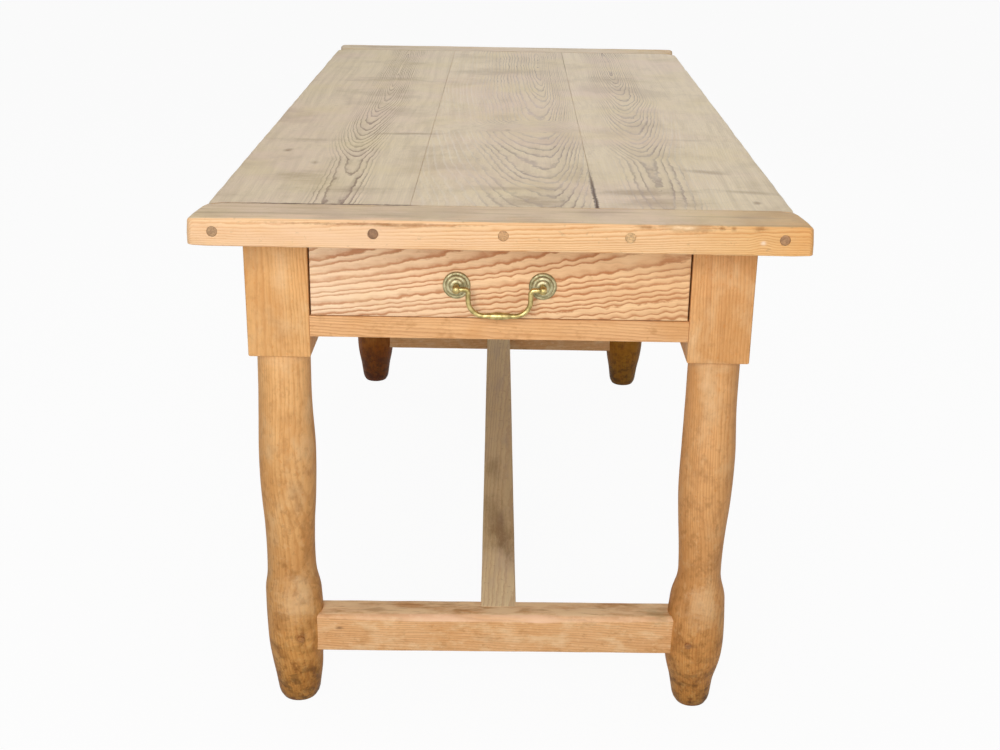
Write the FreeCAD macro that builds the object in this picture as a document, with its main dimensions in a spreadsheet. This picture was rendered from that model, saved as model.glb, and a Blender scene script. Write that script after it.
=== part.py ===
"""Farmhouse kitchen table with a drawer at each end, in millimetres.

The origin is the middle of the floor under the table. X runs across the table, Y along it with the front
end at -Y, and Z points up.
"""
import FreeCAD, Part
import math
import os
import re
import Sketcher

# Driving sizes, one cell of the sheet each
SIZES = {
    "table_length": 1600,
    "table_width": 770,
    "table_height": 764,
    "side_overhang": 50,
    "end_overhang": 96,
    "cut_overrun": 5,
    "tenon_end_gap": 0.5,
    "round_fit_gap": 0.05,
    # top
    "top_thickness": 35,
    "breadboard_width": 78,
    "middle_board_width": 238,
    "middle_board_offset": 4,
    "board_setback": 11,
    "top_edge_round": 6,
    "top_lower_round": 2.5,
    "top_corner_round": 9,
    "seam_round": 1,
    "tongue_thickness": 12,
    "tongue_length": 18,
    "tongue_inset": 35,
    "spline_thickness": 8,
    "spline_depth": 14,
    "dowel_diameter": 13,
    "dowel_reach": 55,
    # legs
    "leg_block_width": 84,
    "leg_block_length": 180,
    "leg_block_round": 2,
    "neck_radius": 36.5,
    "upper_waist_radius": 35.9,
    "upper_waist_height": 492,
    "swell_radius": 38.9,
    "swell_height": 376,
    "lower_waist_radius": 32.5,
    "lower_waist_height": 216,
    "shoulder_radius": 39.4,
    "shoulder_height": 170,
    "bulge_radius": 42,
    "bulge_height": 110,
    "ankle_radius": 34,
    "ankle_height": 44,
    "sole_radius": 28.8,
    "sole_height": 6,
    "foot_rest_radius": 23,
    # aprons, drawer rails and the timber behind them
    "apron_height": 150,
    "apron_thickness": 25,
    "apron_setback": 4,
    "apron_tenon_thickness": 10,
    "apron_tenon_length": 45,
    "apron_tenon_shoulder": 20,
    "rail_height": 29,
    "rail_depth": 60,
    "rail_round": 1.2,
    "rail_tenon_height": 15,
    "rail_tenon_depth": 30,
    "rail_tenon_length": 35,
    "runner_thickness": 24,
    "runner_bearing": 26,
    "runner_tenon_height": 10,
    "runner_tenon_length": 10,
    "guide_width": 24,
    "guide_height": 18,
    "kicker_thickness": 16,
    "kicker_lap": 22,
    "kicker_seat": 4,
    "bearer_thickness": 40,
    "bearer_tenon_length": 10,
    "bearer_tenon_shoulder": 40,
    "stop_width": 40,
    "stop_depth": 18,
    "stop_height": 6,
    # buttons that hold the top down
    "button_groove_drop": 12,
    "button_groove_height": 9,
    "button_groove_depth": 8,
    "button_width": 30,
    "button_thickness": 24,
    "button_clearance": 8,
    "screw_diameter": 4,
    "screw_head_diameter": 8,
    "screw_head_height": 3,
    "screw_bite": 20,
    # foot frame
    "stretcher_floor_gap": 84,
    "stretcher_height": 60,
    "stretcher_depth": 45,
    "stretcher_round": 3,
    "stretcher_wear_round": 7,
    "stretcher_shoulder": 27,
    "stretcher_tenon_height": 36,
    "stretcher_tenon_depth": 14,
    "stretcher_tenon_length": 34,
    "long_stretcher_width": 52,
    "long_stretcher_height": 45,
    "lap_length": 17,
    "lap_height": 22,
    # pegs through the tenons
    "peg_diameter": 9,
    "peg_length": 62,
    "peg_proud": 0.6,
    "stretcher_peg_inset": 13,
    "apron_peg_inset": 18,
    "apron_peg_spacing": 70,
    # drawers
    "drawer_bearer_room": 124,
    "drawer_side_gap": 2.2,
    "drawer_top_gap": 2.5,
    "drawer_floor_gap": 1,
    "drawer_kicker_gap": 3,
    "drawer_front_thickness": 24,
    "drawer_front_round": 1.5,
    "drawer_side_thickness": 13,
    "drawer_back_thickness": 13,
    "drawer_tail_length": 16,
    "panel_thickness": 8,
    "panel_rise": 12,
    "panel_groove_depth": 6,
    "nail_diameter": 2,
    "nail_length": 25,
    "nail_head_diameter": 5,
    "nail_head_height": 1,
    # bail pull
    "pull_spacing": 113,
    "pull_rise": 46,
    "rosette_diameter": 36.5,
    "rosette_rim_height": 1.6,
    "rosette_height": 8,
    "post_shank_diameter": 5,
    "post_neck_diameter": 7.4,
    "post_ball_diameter": 11.4,
    "post_reach": 20,
    "post_thread_end": 2,
    "nut_width": 10,
    "nut_height": 4,
    "bail_wire_diameter": 6.6,
    "bail_hinge_gap": 0.1,
    "bail_pin_end": 3.5,
    "bail_bend_radius": 5,
    "bail_corner_radius": 21,
    "bail_width": 81.4,
    "bail_drop": 35.5,
    "bail_swell_diameter": 9.8,
    "bail_swell_length": 52,
}

# Places and sizes worked out from the driving sizes
PLACES = {
    "half_length": "table_length / 2",
    "half_width": "table_width / 2",
    "top_underside": "table_height - top_thickness",
    "top_middle": "table_height - top_thickness / 2",
    "board_end": "half_length - breadboard_width",
    "board_edge_x": "half_width - board_setback",
    "left_seam": "middle_board_offset - middle_board_width / 2",
    "right_seam": "middle_board_offset + middle_board_width / 2",
    "dowel_bottom": "board_end - dowel_reach",
    "leg_x": "half_width - side_overhang - leg_block_width / 2",
    "leg_y": "half_length - end_overhang - leg_block_width / 2",
    "leg_inner_x": "leg_x - leg_block_width / 2",
    "leg_outer_x": "leg_x + leg_block_width / 2",
    "leg_inner_y": "leg_y - leg_block_width / 2",
    "leg_outer_y": "leg_y + leg_block_width / 2",
    "block_bottom": "top_underside - leg_block_length",
    "apron_outer_x": "leg_outer_x - apron_setback",
    "apron_inner_x": "apron_outer_x - apron_thickness",
    "apron_middle_x": "apron_outer_x - apron_thickness / 2",
    "apron_bottom": "top_underside - apron_height",
    "apron_middle_z": "top_underside - apron_height / 2",
    "rail_top": "apron_bottom + rail_height",
    "rail_middle_z": "apron_bottom + rail_height / 2",
    "rail_middle_y": "leg_outer_y - rail_depth / 2",
    "rail_inner_y": "leg_outer_y - rail_depth",
    "runner_tenon_y": "rail_inner_y + runner_tenon_length",
    "runner_bottom": "rail_top - runner_thickness",
    "runner_middle_z": "rail_top - runner_thickness / 2",
    "runner_inner_x": "leg_inner_x - runner_bearing",
    "kicker_bottom": "top_underside - kicker_thickness",
    "kicker_inner_x": "leg_inner_x - kicker_lap",
    "kicker_outer_x": "leg_inner_x + kicker_seat",
    "guide_outer_x": "leg_inner_x + guide_width",
    "guide_top": "rail_top + guide_height",
    "groove_top": "top_underside - button_groove_drop",
    "groove_bottom": "groove_top - button_groove_height",
    "button_end_x": "kicker_outer_x + button_clearance",
    "button_screw_x": "(button_end_x + apron_inner_x) / 2",
    "button_bottom": "top_underside - button_thickness",
    "stretcher_top": "stretcher_floor_gap + stretcher_height",
    "stretcher_middle_z": "stretcher_floor_gap + stretcher_height / 2",
    "stretcher_end_x": "leg_x - stretcher_shoulder",
    "stretcher_tenon_x": "stretcher_end_x + stretcher_tenon_length",
    "stretcher_inner_y": "leg_y - stretcher_depth / 2",
    "stretcher_outer_y": "leg_y + stretcher_depth / 2",
    "long_stretcher_bottom": "stretcher_top - long_stretcher_height",
    "lap_bottom": "stretcher_top - lap_height",
    "lap_end_y": "stretcher_inner_y + lap_length",
    "stretcher_peg_x": "leg_x - stretcher_peg_inset",
    "apron_peg_y": "leg_inner_y + apron_peg_inset",
    "drawer_half_width": "leg_inner_x - drawer_side_gap",
    "drawer_inner_x": "drawer_half_width - drawer_side_thickness",
    "drawer_front_inner_y": "leg_outer_y - drawer_front_thickness",
    "drawer_tail_y": "drawer_front_inner_y + drawer_tail_length",
    "drawer_end_y": "bearer_thickness / 2 + drawer_bearer_room",
    "drawer_back_y": "drawer_end_y + drawer_back_thickness",
    "drawer_back_middle_y": "drawer_end_y + drawer_back_thickness / 2",
    "drawer_side_top": "kicker_bottom - drawer_kicker_gap",
    "panel_side_x": "drawer_inner_x + panel_groove_depth",
    "panel_bottom": "rail_top + panel_rise",
    "panel_top": "panel_bottom + panel_thickness",
    "panel_front_y": "drawer_front_inner_y + panel_groove_depth",
    "pull_x": "pull_spacing / 2",
    "pull_z": "rail_top + pull_rise",
    "bail_y": "leg_outer_y + post_reach",
    "nut_inner_y": "drawer_front_inner_y - nut_height",
}

# Shares: of each board's width for its dowels, of the run between the legs for the buttons, of the drawer's
# half width for stops and nails, of a tail's pitch, and of the rosette's radius and dome
DOWEL_SHARES = {"left": (0.083, 0.844), "middle": (0.5,), "right": (0.146, 0.898)}
BUTTON_SHARES = (-0.8, -0.35, 0.35, 0.8)
STOP_SHARES = (-0.6, 0.6)
NAIL_SHARES = (-0.7, 0, 0.7)
TAIL_COUNT = 3
TAIL_ROOT_SHARE = 0.28
TAIL_TIP_SHARE = 0.38
RING_RADIUS_SHARES = (0.8, 0.54)
RING_HEIGHT_SHARES = (0.3, 0.72)
RING_CURVE_SHARE = 0.75

SIDES = {"left": -1, "right": 1}
ENDS = {"front": -1, "back": 1}

doc = FreeCAD.newDocument("KitchenTable")
sheet = doc.addObject("Spreadsheet::Sheet", "Sizes")
for row, (alias, size) in enumerate(SIZES.items(), start=1):
    sheet.set(f"A{row}", alias)
    sheet.set(f"B{row}", str(size))
    sheet.setAlias(f"B{row}", alias)
doc.recompute()
subparts = []


def cells(expression):
    """Write an expression of size and place names in terms of the sheet's cells."""
    def swap(match):
        word = match.group(0)
        if word in SIZES:
            return f"Sizes.{word}"
        if word in PLACES:
            return f"({cells(PLACES[word])})"
        return word
    return re.sub(r"[a-z][a-z_]*", swap, expression)


def value(expression):
    return float(sheet.evalExpression(cells(expression)))


def bind(item, prop, expression):
    item.setExpression(prop, cells(expression))


def mirrored(sign, place):
    return place if sign > 0 else f"-({place})"


def span(sign, close, far):
    """The stretch from close to far, on the side of the origin that the sign gives, low end first."""
    ends = (mirrored(sign, close), mirrored(sign, far))
    return ends if sign > 0 else ends[::-1]


def both(half):
    """The stretch that reaches half to each side of the origin."""
    return (f"-({half})", half)


def about(middle, width):
    return (f"({middle}) - ({width}) / 2", f"({middle}) + ({width}) / 2")


def new_body(label):
    body = doc.addObject("PartDesign::Body", label)
    body.Label = label
    subparts.append(body)
    return body


def block(body, name, x, y, z, kind="Additive"):
    """A box between the low and high ends of three stretches, added to a body or cut from it."""
    feature = body.newObject(f"PartDesign::{kind}Box", name)
    for (low, high), size, axis in zip((x, y, z), ("Length", "Width", "Height"), "xyz"):
        bind(feature, size, f"({high}) - ({low})")
        bind(feature, f"Placement.Base.{axis}", low)
    return feature


def slot(body, name, x, y, z):
    return block(body, name, x, y, z, "Subtractive")


TURNS = {
    "x": FreeCAD.Rotation(FreeCAD.Vector(0, 1, 0), 90),
    "y": FreeCAD.Rotation(FreeCAD.Vector(1, 0, 0), -90),
    "z": FreeCAD.Rotation(),
}


def rod(item, axis, diameter, stretch, across):
    """Set a cylinder along an axis, between the ends of its stretch, through the point across it."""
    low, high = stretch
    item.Placement = FreeCAD.Placement(FreeCAD.Vector(), TURNS[axis])
    bind(item, "Radius", f"({diameter}) / 2")
    bind(item, "Height", f"({high}) - ({low})")
    bind(item, f"Placement.Base.{axis}", low)
    for other, place in zip([letter for letter in "xyz" if letter != axis], across):
        bind(item, f"Placement.Base.{other}", place)
    return item


def bore(body, name, axis, diameter, stretch, across):
    return rod(body.newObject("PartDesign::SubtractiveCylinder", name), axis, diameter, stretch, across)


def soften(body, name, radius, wanted):
    """Round those edges of a body that the test picks by their middle and direction."""
    doc.recompute()
    base = body.Tip
    picked = []
    for number, edge in enumerate(base.Shape.Edges, start=1):
        start, end = edge.firstVertex().Point, edge.lastVertex().Point
        if edge.Curve.TypeId == "Part::GeomLine" and wanted((start + end) / 2, (end - start).normalize()):
            picked.append(f"Edge{number}")
    feature = body.newObject("PartDesign::Fillet", name)
    feature.Base = (base, picked)
    bind(feature, "Radius", radius)
    return feature


def runs(direction, axis):
    """Whether an edge's direction lies along an axis."""
    return math.isclose(abs(getattr(direction, axis)), 1)


def near(number, expression):
    return math.isclose(number, value(expression), abs_tol=Part.Precision.confusion())


def attach(body, name, plane, offset):
    """A sketch on one of the body's origin planes, with its own origin moved by the offset."""
    sketch = body.newObject("Sketcher::SketchObject", name)
    flat = next(item for item in body.Origin.OriginFeatures if item.Role == plane)
    sketch.AttachmentSupport = (flat, "")
    sketch.MapMode = "FlatFace"
    for axis, place in zip("xyz", offset):
        bind(sketch, f"AttachmentOffset.Base.{axis}", place)
    return sketch


def arc_between(start, end, radius, turn):
    """The shorter arc from start to end; turn is 1 to the left and -1 to the right."""
    chord = end - start
    left = FreeCAD.Vector(-chord.y, chord.x, 0).normalize()
    rise = math.sqrt(max(radius ** 2 - (chord.Length / 2) ** 2, 0))
    centre = (start + end) / 2 + left * rise * turn
    first, last = (start, end) if turn > 0 else (end, start)
    angles = [math.atan2(point.y - centre.y, point.x - centre.x) for point in (first, last)]
    return Part.ArcOfCircle(Part.Circle(centre, FreeCAD.Vector(0, 0, 1), radius), *angles)


def trace(sketch, steps, closed=True):
    """Draw lines and arcs through the steps. A step is x, y and, for an arc towards it, radius and turn."""
    points = [FreeCAD.Vector(value(step[0]), value(step[1]), 0) for step in steps]
    targets = list(range(1, len(steps))) + ([0] if closed else [])
    first = sketch.GeometryCount
    ends = []
    for number, target in enumerate(targets, start=first):
        start = points[target - 1]
        if len(steps[target]) > 2:
            radius, turn = steps[target][2:]
            sketch.addGeometry(arc_between(start, points[target], value(radius), turn), False)
            rule = sketch.addConstraint(Sketcher.Constraint("Radius", number, value(radius)))
            bind(sketch, f"Constraints[{rule}]", radius)
            ends.append((1, 2) if turn > 0 else (2, 1))
        else:
            sketch.addGeometry(Part.LineSegment(start, points[target]), False)
            ends.append((1, 2))
    for number, target in enumerate(targets):
        place_point(sketch, first + number, ends[number][0], steps[target - 1])
        following = (number + 1) % len(targets)
        if closed or following:
            sketch.addConstraint(Sketcher.Constraint(
                "Coincident", first + number, ends[number][1], first + following, ends[following][0]))
    if not closed:
        place_point(sketch, first + len(targets) - 1, ends[-1][1], steps[-1])


def place_point(sketch, geometry, end, step):
    for kind, place in zip(("DistanceX", "DistanceY"), step):
        rule = sketch.addConstraint(Sketcher.Constraint(kind, -1, 1, geometry, end, value(place)))
        bind(sketch, f"Constraints[{rule}]", place)


def turned(body, name, sketch, axis):
    feature = body.newObject("PartDesign::Revolution", name)
    feature.Profile = sketch
    feature.ReferenceAxis = (sketch, [axis])
    return feature


def group(label, items):
    """Separate solids that share one sub-part."""
    compound = doc.addObject("Part::Compound", label)
    compound.Label = label
    compound.Links = items
    subparts.append(compound)
    return compound


def plain(kind, name):
    return doc.addObject(f"Part::{kind}", name)


def plain_box(name, x, y, z):
    item = plain("Box", name)
    for (low, high), size, axis in zip((x, y, z), ("Length", "Width", "Height"), "xyz"):
        bind(item, size, f"({high}) - ({low})")
        bind(item, f"Placement.Base.{axis}", low)
    return item


def join(kind, base, tool):
    item = plain(kind, f"{base.Name}{kind}")
    item.Base = base
    item.Tool = tool
    return item


# Top: three boards with a tongue at each end, splines in the seams, and a cross board at each end that
# widens outwards from the edges of the shrunken boards
BOARD_SPANS = {
    "left": ("-(board_edge_x)", "left_seam"),
    "middle": ("left_seam", "right_seam"),
    "right": ("right_seam", "board_edge_x"),
}
SPLINE_HALF = "spline_depth - tenon_end_gap"
TONGUE_Z = about("top_middle", "tongue_thickness")


def board_dowels(board):
    low, high = BOARD_SPANS[board]
    return [f"({low}) + (({high}) - ({low})) * {place}" for place in DOWEL_SHARES[board]]


def dowel_holes(body, places, stretch, sign):
    for number, place in enumerate(places):
        bore(body, f"DowelHole{number}", "y", "dowel_diameter + round_fit_gap * 2",
             span(sign, *stretch), (place, "top_middle"))


def round_edges(body, outer):
    """Round a board's upper and lower arrises where the test finds its outer edge."""
    for name, radius, level in (("Upper", "top_edge_round", "table_height"),
                                ("Lower", "top_lower_round", "top_underside")):
        soften(body, f"{name}Round", radius,
               lambda middle, run: near(middle.z, level) and outer(middle, run))


def make_board(board):
    body = new_body(f"top_board_{board}")
    low, high = BOARD_SPANS[board]
    block(body, "Board", (low, high), both("board_end"), ("top_underside", "table_height"))
    edges = {"left": low, "right": high}
    if board in edges:
        round_edges(body, lambda middle, run: runs(run, "y") and near(middle.x, edges[board]))
    soften(body, "SeamRound", "seam_round",
           lambda middle, run: runs(run, "y") and near(middle.z, "table_height")
           and (near(middle.x, "left_seam") or near(middle.x, "right_seam")))
    tongue_low = f"({low}) + tongue_inset" if board == "left" else low
    tongue_high = f"({high}) - tongue_inset" if board == "right" else high
    for end, sign in ENDS.items():
        block(body, f"Tongue{end}", (tongue_low, tongue_high),
              span(sign, "board_end", "board_end + tongue_length"), TONGUE_Z)
        dowel_holes(body, board_dowels(board),
                    ("dowel_bottom", "board_end + tongue_length + cut_overrun"), sign)
    for seam in ("left_seam", "right_seam"):
        if seam in (low, high):
            slot(body, f"Groove{seam}", about(seam, "spline_depth * 2"), both("board_end"),
                 about("top_middle", "spline_thickness"))
    if board in SIDES:
        for number, share in enumerate(BUTTON_SHARES):
            bore(body, f"ScrewHole{number}", "z", "screw_diameter + round_fit_gap * 2",
                 ("top_underside - cut_overrun", "top_underside + screw_bite"),
                 (mirrored(SIDES[board], "button_screw_x"), f"leg_inner_y * {share}"))


for board in BOARD_SPANS:
    make_board(board)

for side in SIDES:
    spline = new_body(f"top_spline_{side}")
    block(spline, "Strip", about(f"{side}_seam", f"({SPLINE_HALF}) * 2"), both("board_end"),
          about("top_middle", "spline_thickness"))

for end, sign in ENDS.items():
    cross = new_body(f"breadboard_{end}")
    outer, seam = mirrored(sign, "half_length"), mirrored(sign, "board_end")
    sketch = attach(cross, "Outline", "XY_Plane", ("0", "0", "top_underside"))
    trace(sketch, [("-(board_edge_x)", seam), ("board_edge_x", seam), ("half_width", outer),
                   ("-(half_width)", outer)])
    pad = cross.newObject("PartDesign::Pad", "Board")
    pad.Profile = sketch
    bind(pad, "Length", "top_thickness")
    soften(cross, "CornerRound", "top_corner_round",
           lambda middle, run: runs(run, "z") and near(middle.y, outer))
    round_edges(cross, lambda middle, run: runs(run, "x") and near(middle.y, outer))
    soften(cross, "SeamRound", "seam_round",
           lambda middle, run: near(middle.z, "table_height") and near(middle.y, seam))
    slot(cross, "Groove", both("board_edge_x - tongue_inset"),
         span(sign, "board_end - cut_overrun", "board_end + tongue_length + tenon_end_gap"), TONGUE_Z)
    places = [place for board in BOARD_SPANS for place in board_dowels(board)]
    dowel_holes(cross, places, ("board_end - cut_overrun", "half_length + cut_overrun"), sign)
    pins = [rod(plain("Cylinder", f"Dowel{end}"), "y", "dowel_diameter",
                span(sign, "dowel_bottom", "half_length"), (place, "top_middle"))
            for place in places]
    group(f"breadboard_dowels_{end}", pins)


# Legs: a square block with mortises over a turned shaft
APRON_TENON_X = about("apron_middle_x", "apron_tenon_thickness")
APRON_TENON_Z = ("apron_bottom + apron_tenon_shoulder", "top_underside - apron_tenon_shoulder")
RAIL_TENON_Y = about("rail_middle_y", "rail_tenon_depth")
RAIL_TENON_Z = about("rail_middle_z", "rail_tenon_height")
STRETCHER_TENON_Y = about("leg_y", "stretcher_tenon_depth")
STRETCHER_TENON_Z = about("stretcher_middle_z", "stretcher_tenon_height")
STRETCHER_PEG_Y = ("leg_y + bulge_radius + peg_proud - peg_length", "leg_y + bulge_radius + peg_proud")
APRON_PEG_X = ("leg_outer_x + peg_proud - peg_length", "leg_outer_x + peg_proud")
APRON_PEG_SHARES = (-0.5, 0.5)
PEG_HOLE = "peg_diameter + round_fit_gap * 2"


def apron_peg_heights():
    return [f"apron_middle_z + apron_peg_spacing * {share}" for share in APRON_PEG_SHARES]


def turned_profile():
    """The shaft's outline from the block down. Waist, swell, waist and shoulder are joined by pairs of
    equal arcs, upright where they meet a station. The foot tapers straight and the rest are single arcs."""
    steps = [("0", "block_bottom"), ("neck_radius", "block_bottom"),
             ("upper_waist_radius", "upper_waist_height",
              upright_arc("block_bottom - upper_waist_height", "neck_radius - upper_waist_radius"), 1)]
    stations = ("upper_waist", "swell", "lower_waist", "shoulder")
    for above, below in zip(stations, stations[1:]):
        narrows = value(f"{above}_radius - {below}_radius") > 0
        radius = upright_arc(f"({above}_height - {below}_height) / 2",
                             f"({above}_radius - {below}_radius) / 2")
        steps.append((f"({above}_radius + {below}_radius) / 2", f"({above}_height + {below}_height) / 2",
                      radius, -1 if narrows else 1))
        steps.append((f"{below}_radius", f"{below}_height", radius, 1 if narrows else -1))
    steps.append(("bulge_radius", "bulge_height",
                  upright_arc("shoulder_height - bulge_height", "bulge_radius - shoulder_radius"), -1))
    steps.append(("ankle_radius", "ankle_height",
                  upright_arc("bulge_height - ankle_height", "bulge_radius - ankle_radius"), -1))
    steps.append(("sole_radius", "sole_height"))
    steps.append(("foot_rest_radius", "0",
                  upright_arc("sole_radius - foot_rest_radius", "sole_height"), -1))
    steps.append(("0", "0"))
    return steps


def upright_arc(run, step):
    """Radius of the arc that starts along its run and has stepped aside by the run's end."""
    return f"(({run})^2 + ({step})^2) / (2 * abs({step}))"


def make_leg(end, side):
    along, across = ENDS[end], SIDES[side]
    body = new_body(f"leg_{end}_{side}")
    block(body, "Block", span(across, "leg_inner_x", "leg_outer_x"),
          span(along, "leg_inner_y", "leg_outer_y"), ("block_bottom", "top_underside"))
    soften(body, "BlockRound", "leg_block_round", lambda middle, run: runs(run, "z"))
    profile = attach(body, "ShaftProfile", "XZ_Plane",
                     (mirrored(across, "leg_x"), "0", mirrored(-along, "leg_y")))
    trace(profile, turned_profile())
    turned(body, "Shaft", profile, "V_Axis")
    slot(body, "ApronMortise", span(across, *APRON_TENON_X),
         span(along, "leg_inner_y - cut_overrun", "leg_inner_y + apron_tenon_length + tenon_end_gap"),
         APRON_TENON_Z)
    slot(body, "RailMortise",
         span(across, "leg_inner_x - cut_overrun", "leg_inner_x + rail_tenon_length + tenon_end_gap"),
         span(along, *RAIL_TENON_Y), RAIL_TENON_Z)
    slot(body, "StretcherHousing", span(across, "leg_x - bulge_radius - cut_overrun", "stretcher_end_x"),
         span(along, "stretcher_inner_y", "stretcher_outer_y"), ("stretcher_floor_gap", "stretcher_top"))
    slot(body, "StretcherMortise",
         span(across, "stretcher_end_x - cut_overrun", "stretcher_tenon_x + tenon_end_gap"),
         span(along, *STRETCHER_TENON_Y), STRETCHER_TENON_Z)
    bore(body, "StretcherPegHole", "y", PEG_HOLE, span(along, *STRETCHER_PEG_Y),
         (mirrored(across, "stretcher_peg_x"), "stretcher_middle_z"))
    for number, height in enumerate(apron_peg_heights()):
        bore(body, f"ApronPegHole{number}", "x", PEG_HOLE, span(across, *APRON_PEG_X),
             (mirrored(along, "apron_peg_y"), height))


for end in ENDS:
    for side in SIDES:
        make_leg(end, side)


# Aprons along the sides, tenoned into the blocks and grooved for the buttons
def make_apron(side):
    across = SIDES[side]
    body = new_body(f"apron_{side}")
    block(body, "Board", span(across, "apron_inner_x", "apron_outer_x"), both("leg_inner_y"),
          ("apron_bottom", "top_underside"))
    for end, along in ENDS.items():
        block(body, f"Tenon{end}", span(across, *APRON_TENON_X),
              span(along, "leg_inner_y", "leg_inner_y + apron_tenon_length"), APRON_TENON_Z)
        for number, height in enumerate(apron_peg_heights()):
            bore(body, f"PegHole{end}{number}", "x", PEG_HOLE, span(across, *APRON_PEG_X),
                 (mirrored(along, "apron_peg_y"), height))
    slot(body, "ButtonGroove",
         span(across, "apron_inner_x - cut_overrun", "apron_inner_x + button_groove_depth"),
         both("leg_inner_y + cut_overrun"), ("groove_bottom", "groove_top"))
    slot(body, "BearerMortise",
         span(across, "apron_inner_x - cut_overrun", "apron_inner_x + bearer_tenon_length + tenon_end_gap"),
         both("bearer_thickness / 2"), BEARER_TENON_Z)


BEARER_TENON_Z = ("guide_top + bearer_tenon_shoulder", "top_underside - bearer_tenon_shoulder")
for side in SIDES:
    make_apron(side)


# Drawer rail at each end, with the runners' stub tenons let into its back
RUNNER_TENON_X = ("runner_inner_x", "leg_inner_x")
RUNNER_TENON_Z = about("runner_middle_z", "runner_tenon_height")


def make_rail(end):
    along = ENDS[end]
    body = new_body(f"drawer_rail_{end}")
    block(body, "Rail", both("leg_inner_x"), span(along, "rail_inner_y", "leg_outer_y"),
          ("apron_bottom", "rail_top"))
    soften(body, "FrontRound", "rail_round",
           lambda middle, run: runs(run, "x") and near(middle.y * along, "leg_outer_y"))
    for side, across in SIDES.items():
        block(body, f"Tenon{side}", span(across, "leg_inner_x", "leg_inner_x + rail_tenon_length"),
              span(along, *RAIL_TENON_Y), RAIL_TENON_Z)
        slot(body, f"RunnerMortise{side}", span(across, *RUNNER_TENON_X),
             span(along, "rail_inner_y - cut_overrun", "runner_tenon_y + tenon_end_gap"), RUNNER_TENON_Z)


for end in ENDS:
    make_rail(end)


# Runners that carry the drawers, guides beside them, kickers above, a bearer across the middle, and stops
def make_runner(side):
    across = SIDES[side]
    body = new_body(f"drawer_runner_{side}")
    block(body, "Bearing", span(across, "runner_inner_x", "leg_inner_x"), both("rail_inner_y"),
          ("runner_bottom", "rail_top"))
    block(body, "Shelf", span(across, "leg_inner_x", "apron_inner_x"), both("leg_inner_y"),
          ("runner_bottom", "rail_top"))
    for end, along in ENDS.items():
        block(body, f"Tenon{end}", span(across, *RUNNER_TENON_X),
              span(along, "rail_inner_y", "runner_tenon_y"), RUNNER_TENON_Z)


for side, across in SIDES.items():
    make_runner(side)
    guide = new_body(f"drawer_guide_{side}")
    block(guide, "Strip", span(across, "leg_inner_x", "guide_outer_x"), both("leg_inner_y"),
          ("rail_top", "guide_top"))
    kicker = new_body(f"drawer_kicker_{side}")
    block(kicker, "Strip", span(across, "kicker_inner_x", "kicker_outer_x"), both("leg_inner_y"),
          ("kicker_bottom", "top_underside"))

bearer = new_body("cross_bearer")
BEARER_Y = both("bearer_thickness / 2")
BEARER_CUT_Y = both("bearer_thickness / 2 + cut_overrun")
block(bearer, "Beam", both("apron_inner_x"), BEARER_Y, ("rail_top", "top_underside"))
for side, across in SIDES.items():
    block(bearer, f"Tenon{side}", span(across, "apron_inner_x", "apron_inner_x + bearer_tenon_length"),
          BEARER_Y, BEARER_TENON_Z)
    slot(bearer, f"GuideNotch{side}", span(across, "leg_inner_x", "guide_outer_x"), BEARER_CUT_Y,
         ("rail_top - cut_overrun", "guide_top"))
    slot(bearer, f"KickerNotch{side}", span(across, "kicker_inner_x", "kicker_outer_x"), BEARER_CUT_Y,
         ("kicker_bottom", "top_underside + cut_overrun"))

for end, along in ENDS.items():
    group(f"drawer_stops_{end}", [
        plain_box(f"Stop{end}", about(f"drawer_half_width * {share}", "stop_width"),
                  span(along, "drawer_front_inner_y - stop_depth", "drawer_front_inner_y"),
                  ("rail_top", "rail_top + stop_height"))
        for share in STOP_SHARES])


# Buttons with a tongue in the apron's groove, each held to the top by one screw
def make_button(across, place):
    head = plain_box("ButtonHead", span(across, "button_end_x", "apron_inner_x"),
                     about(place, "button_width"), ("button_bottom", "top_underside"))
    tongue = plain_box("ButtonTongue",
                       span(across, "apron_inner_x", "apron_inner_x + button_groove_depth - tenon_end_gap"),
                       about(place, "button_width"), ("groove_bottom", "groove_top"))
    hole = rod(plain("Cylinder", "ButtonHole"), "z", "screw_diameter + round_fit_gap * 2",
               ("button_bottom", "top_underside"), (mirrored(across, "button_screw_x"), place))
    return join("Cut", join("Fuse", head, tongue), hole)


def make_screw(across, place):
    point = (mirrored(across, "button_screw_x"), place)
    shank = rod(plain("Cylinder", "ScrewShank"), "z", "screw_diameter",
                ("button_bottom", "top_underside + screw_bite - tenon_end_gap"), point)
    head = rod(plain("Cylinder", "ScrewHead"), "z", "screw_head_diameter",
               ("button_bottom - screw_head_height", "button_bottom"), point)
    return join("Fuse", shank, head)


button_places = [(across, f"leg_inner_y * {share}") for across in SIDES.values() for share in BUTTON_SHARES]
group("top_buttons", [make_button(*place) for place in button_places])
group("button_screws", [make_screw(*place) for place in button_places])


# Foot frame: a stretcher between each pair of legs, and a long one lapped into both
LAP_X = both("long_stretcher_width / 2")


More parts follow.
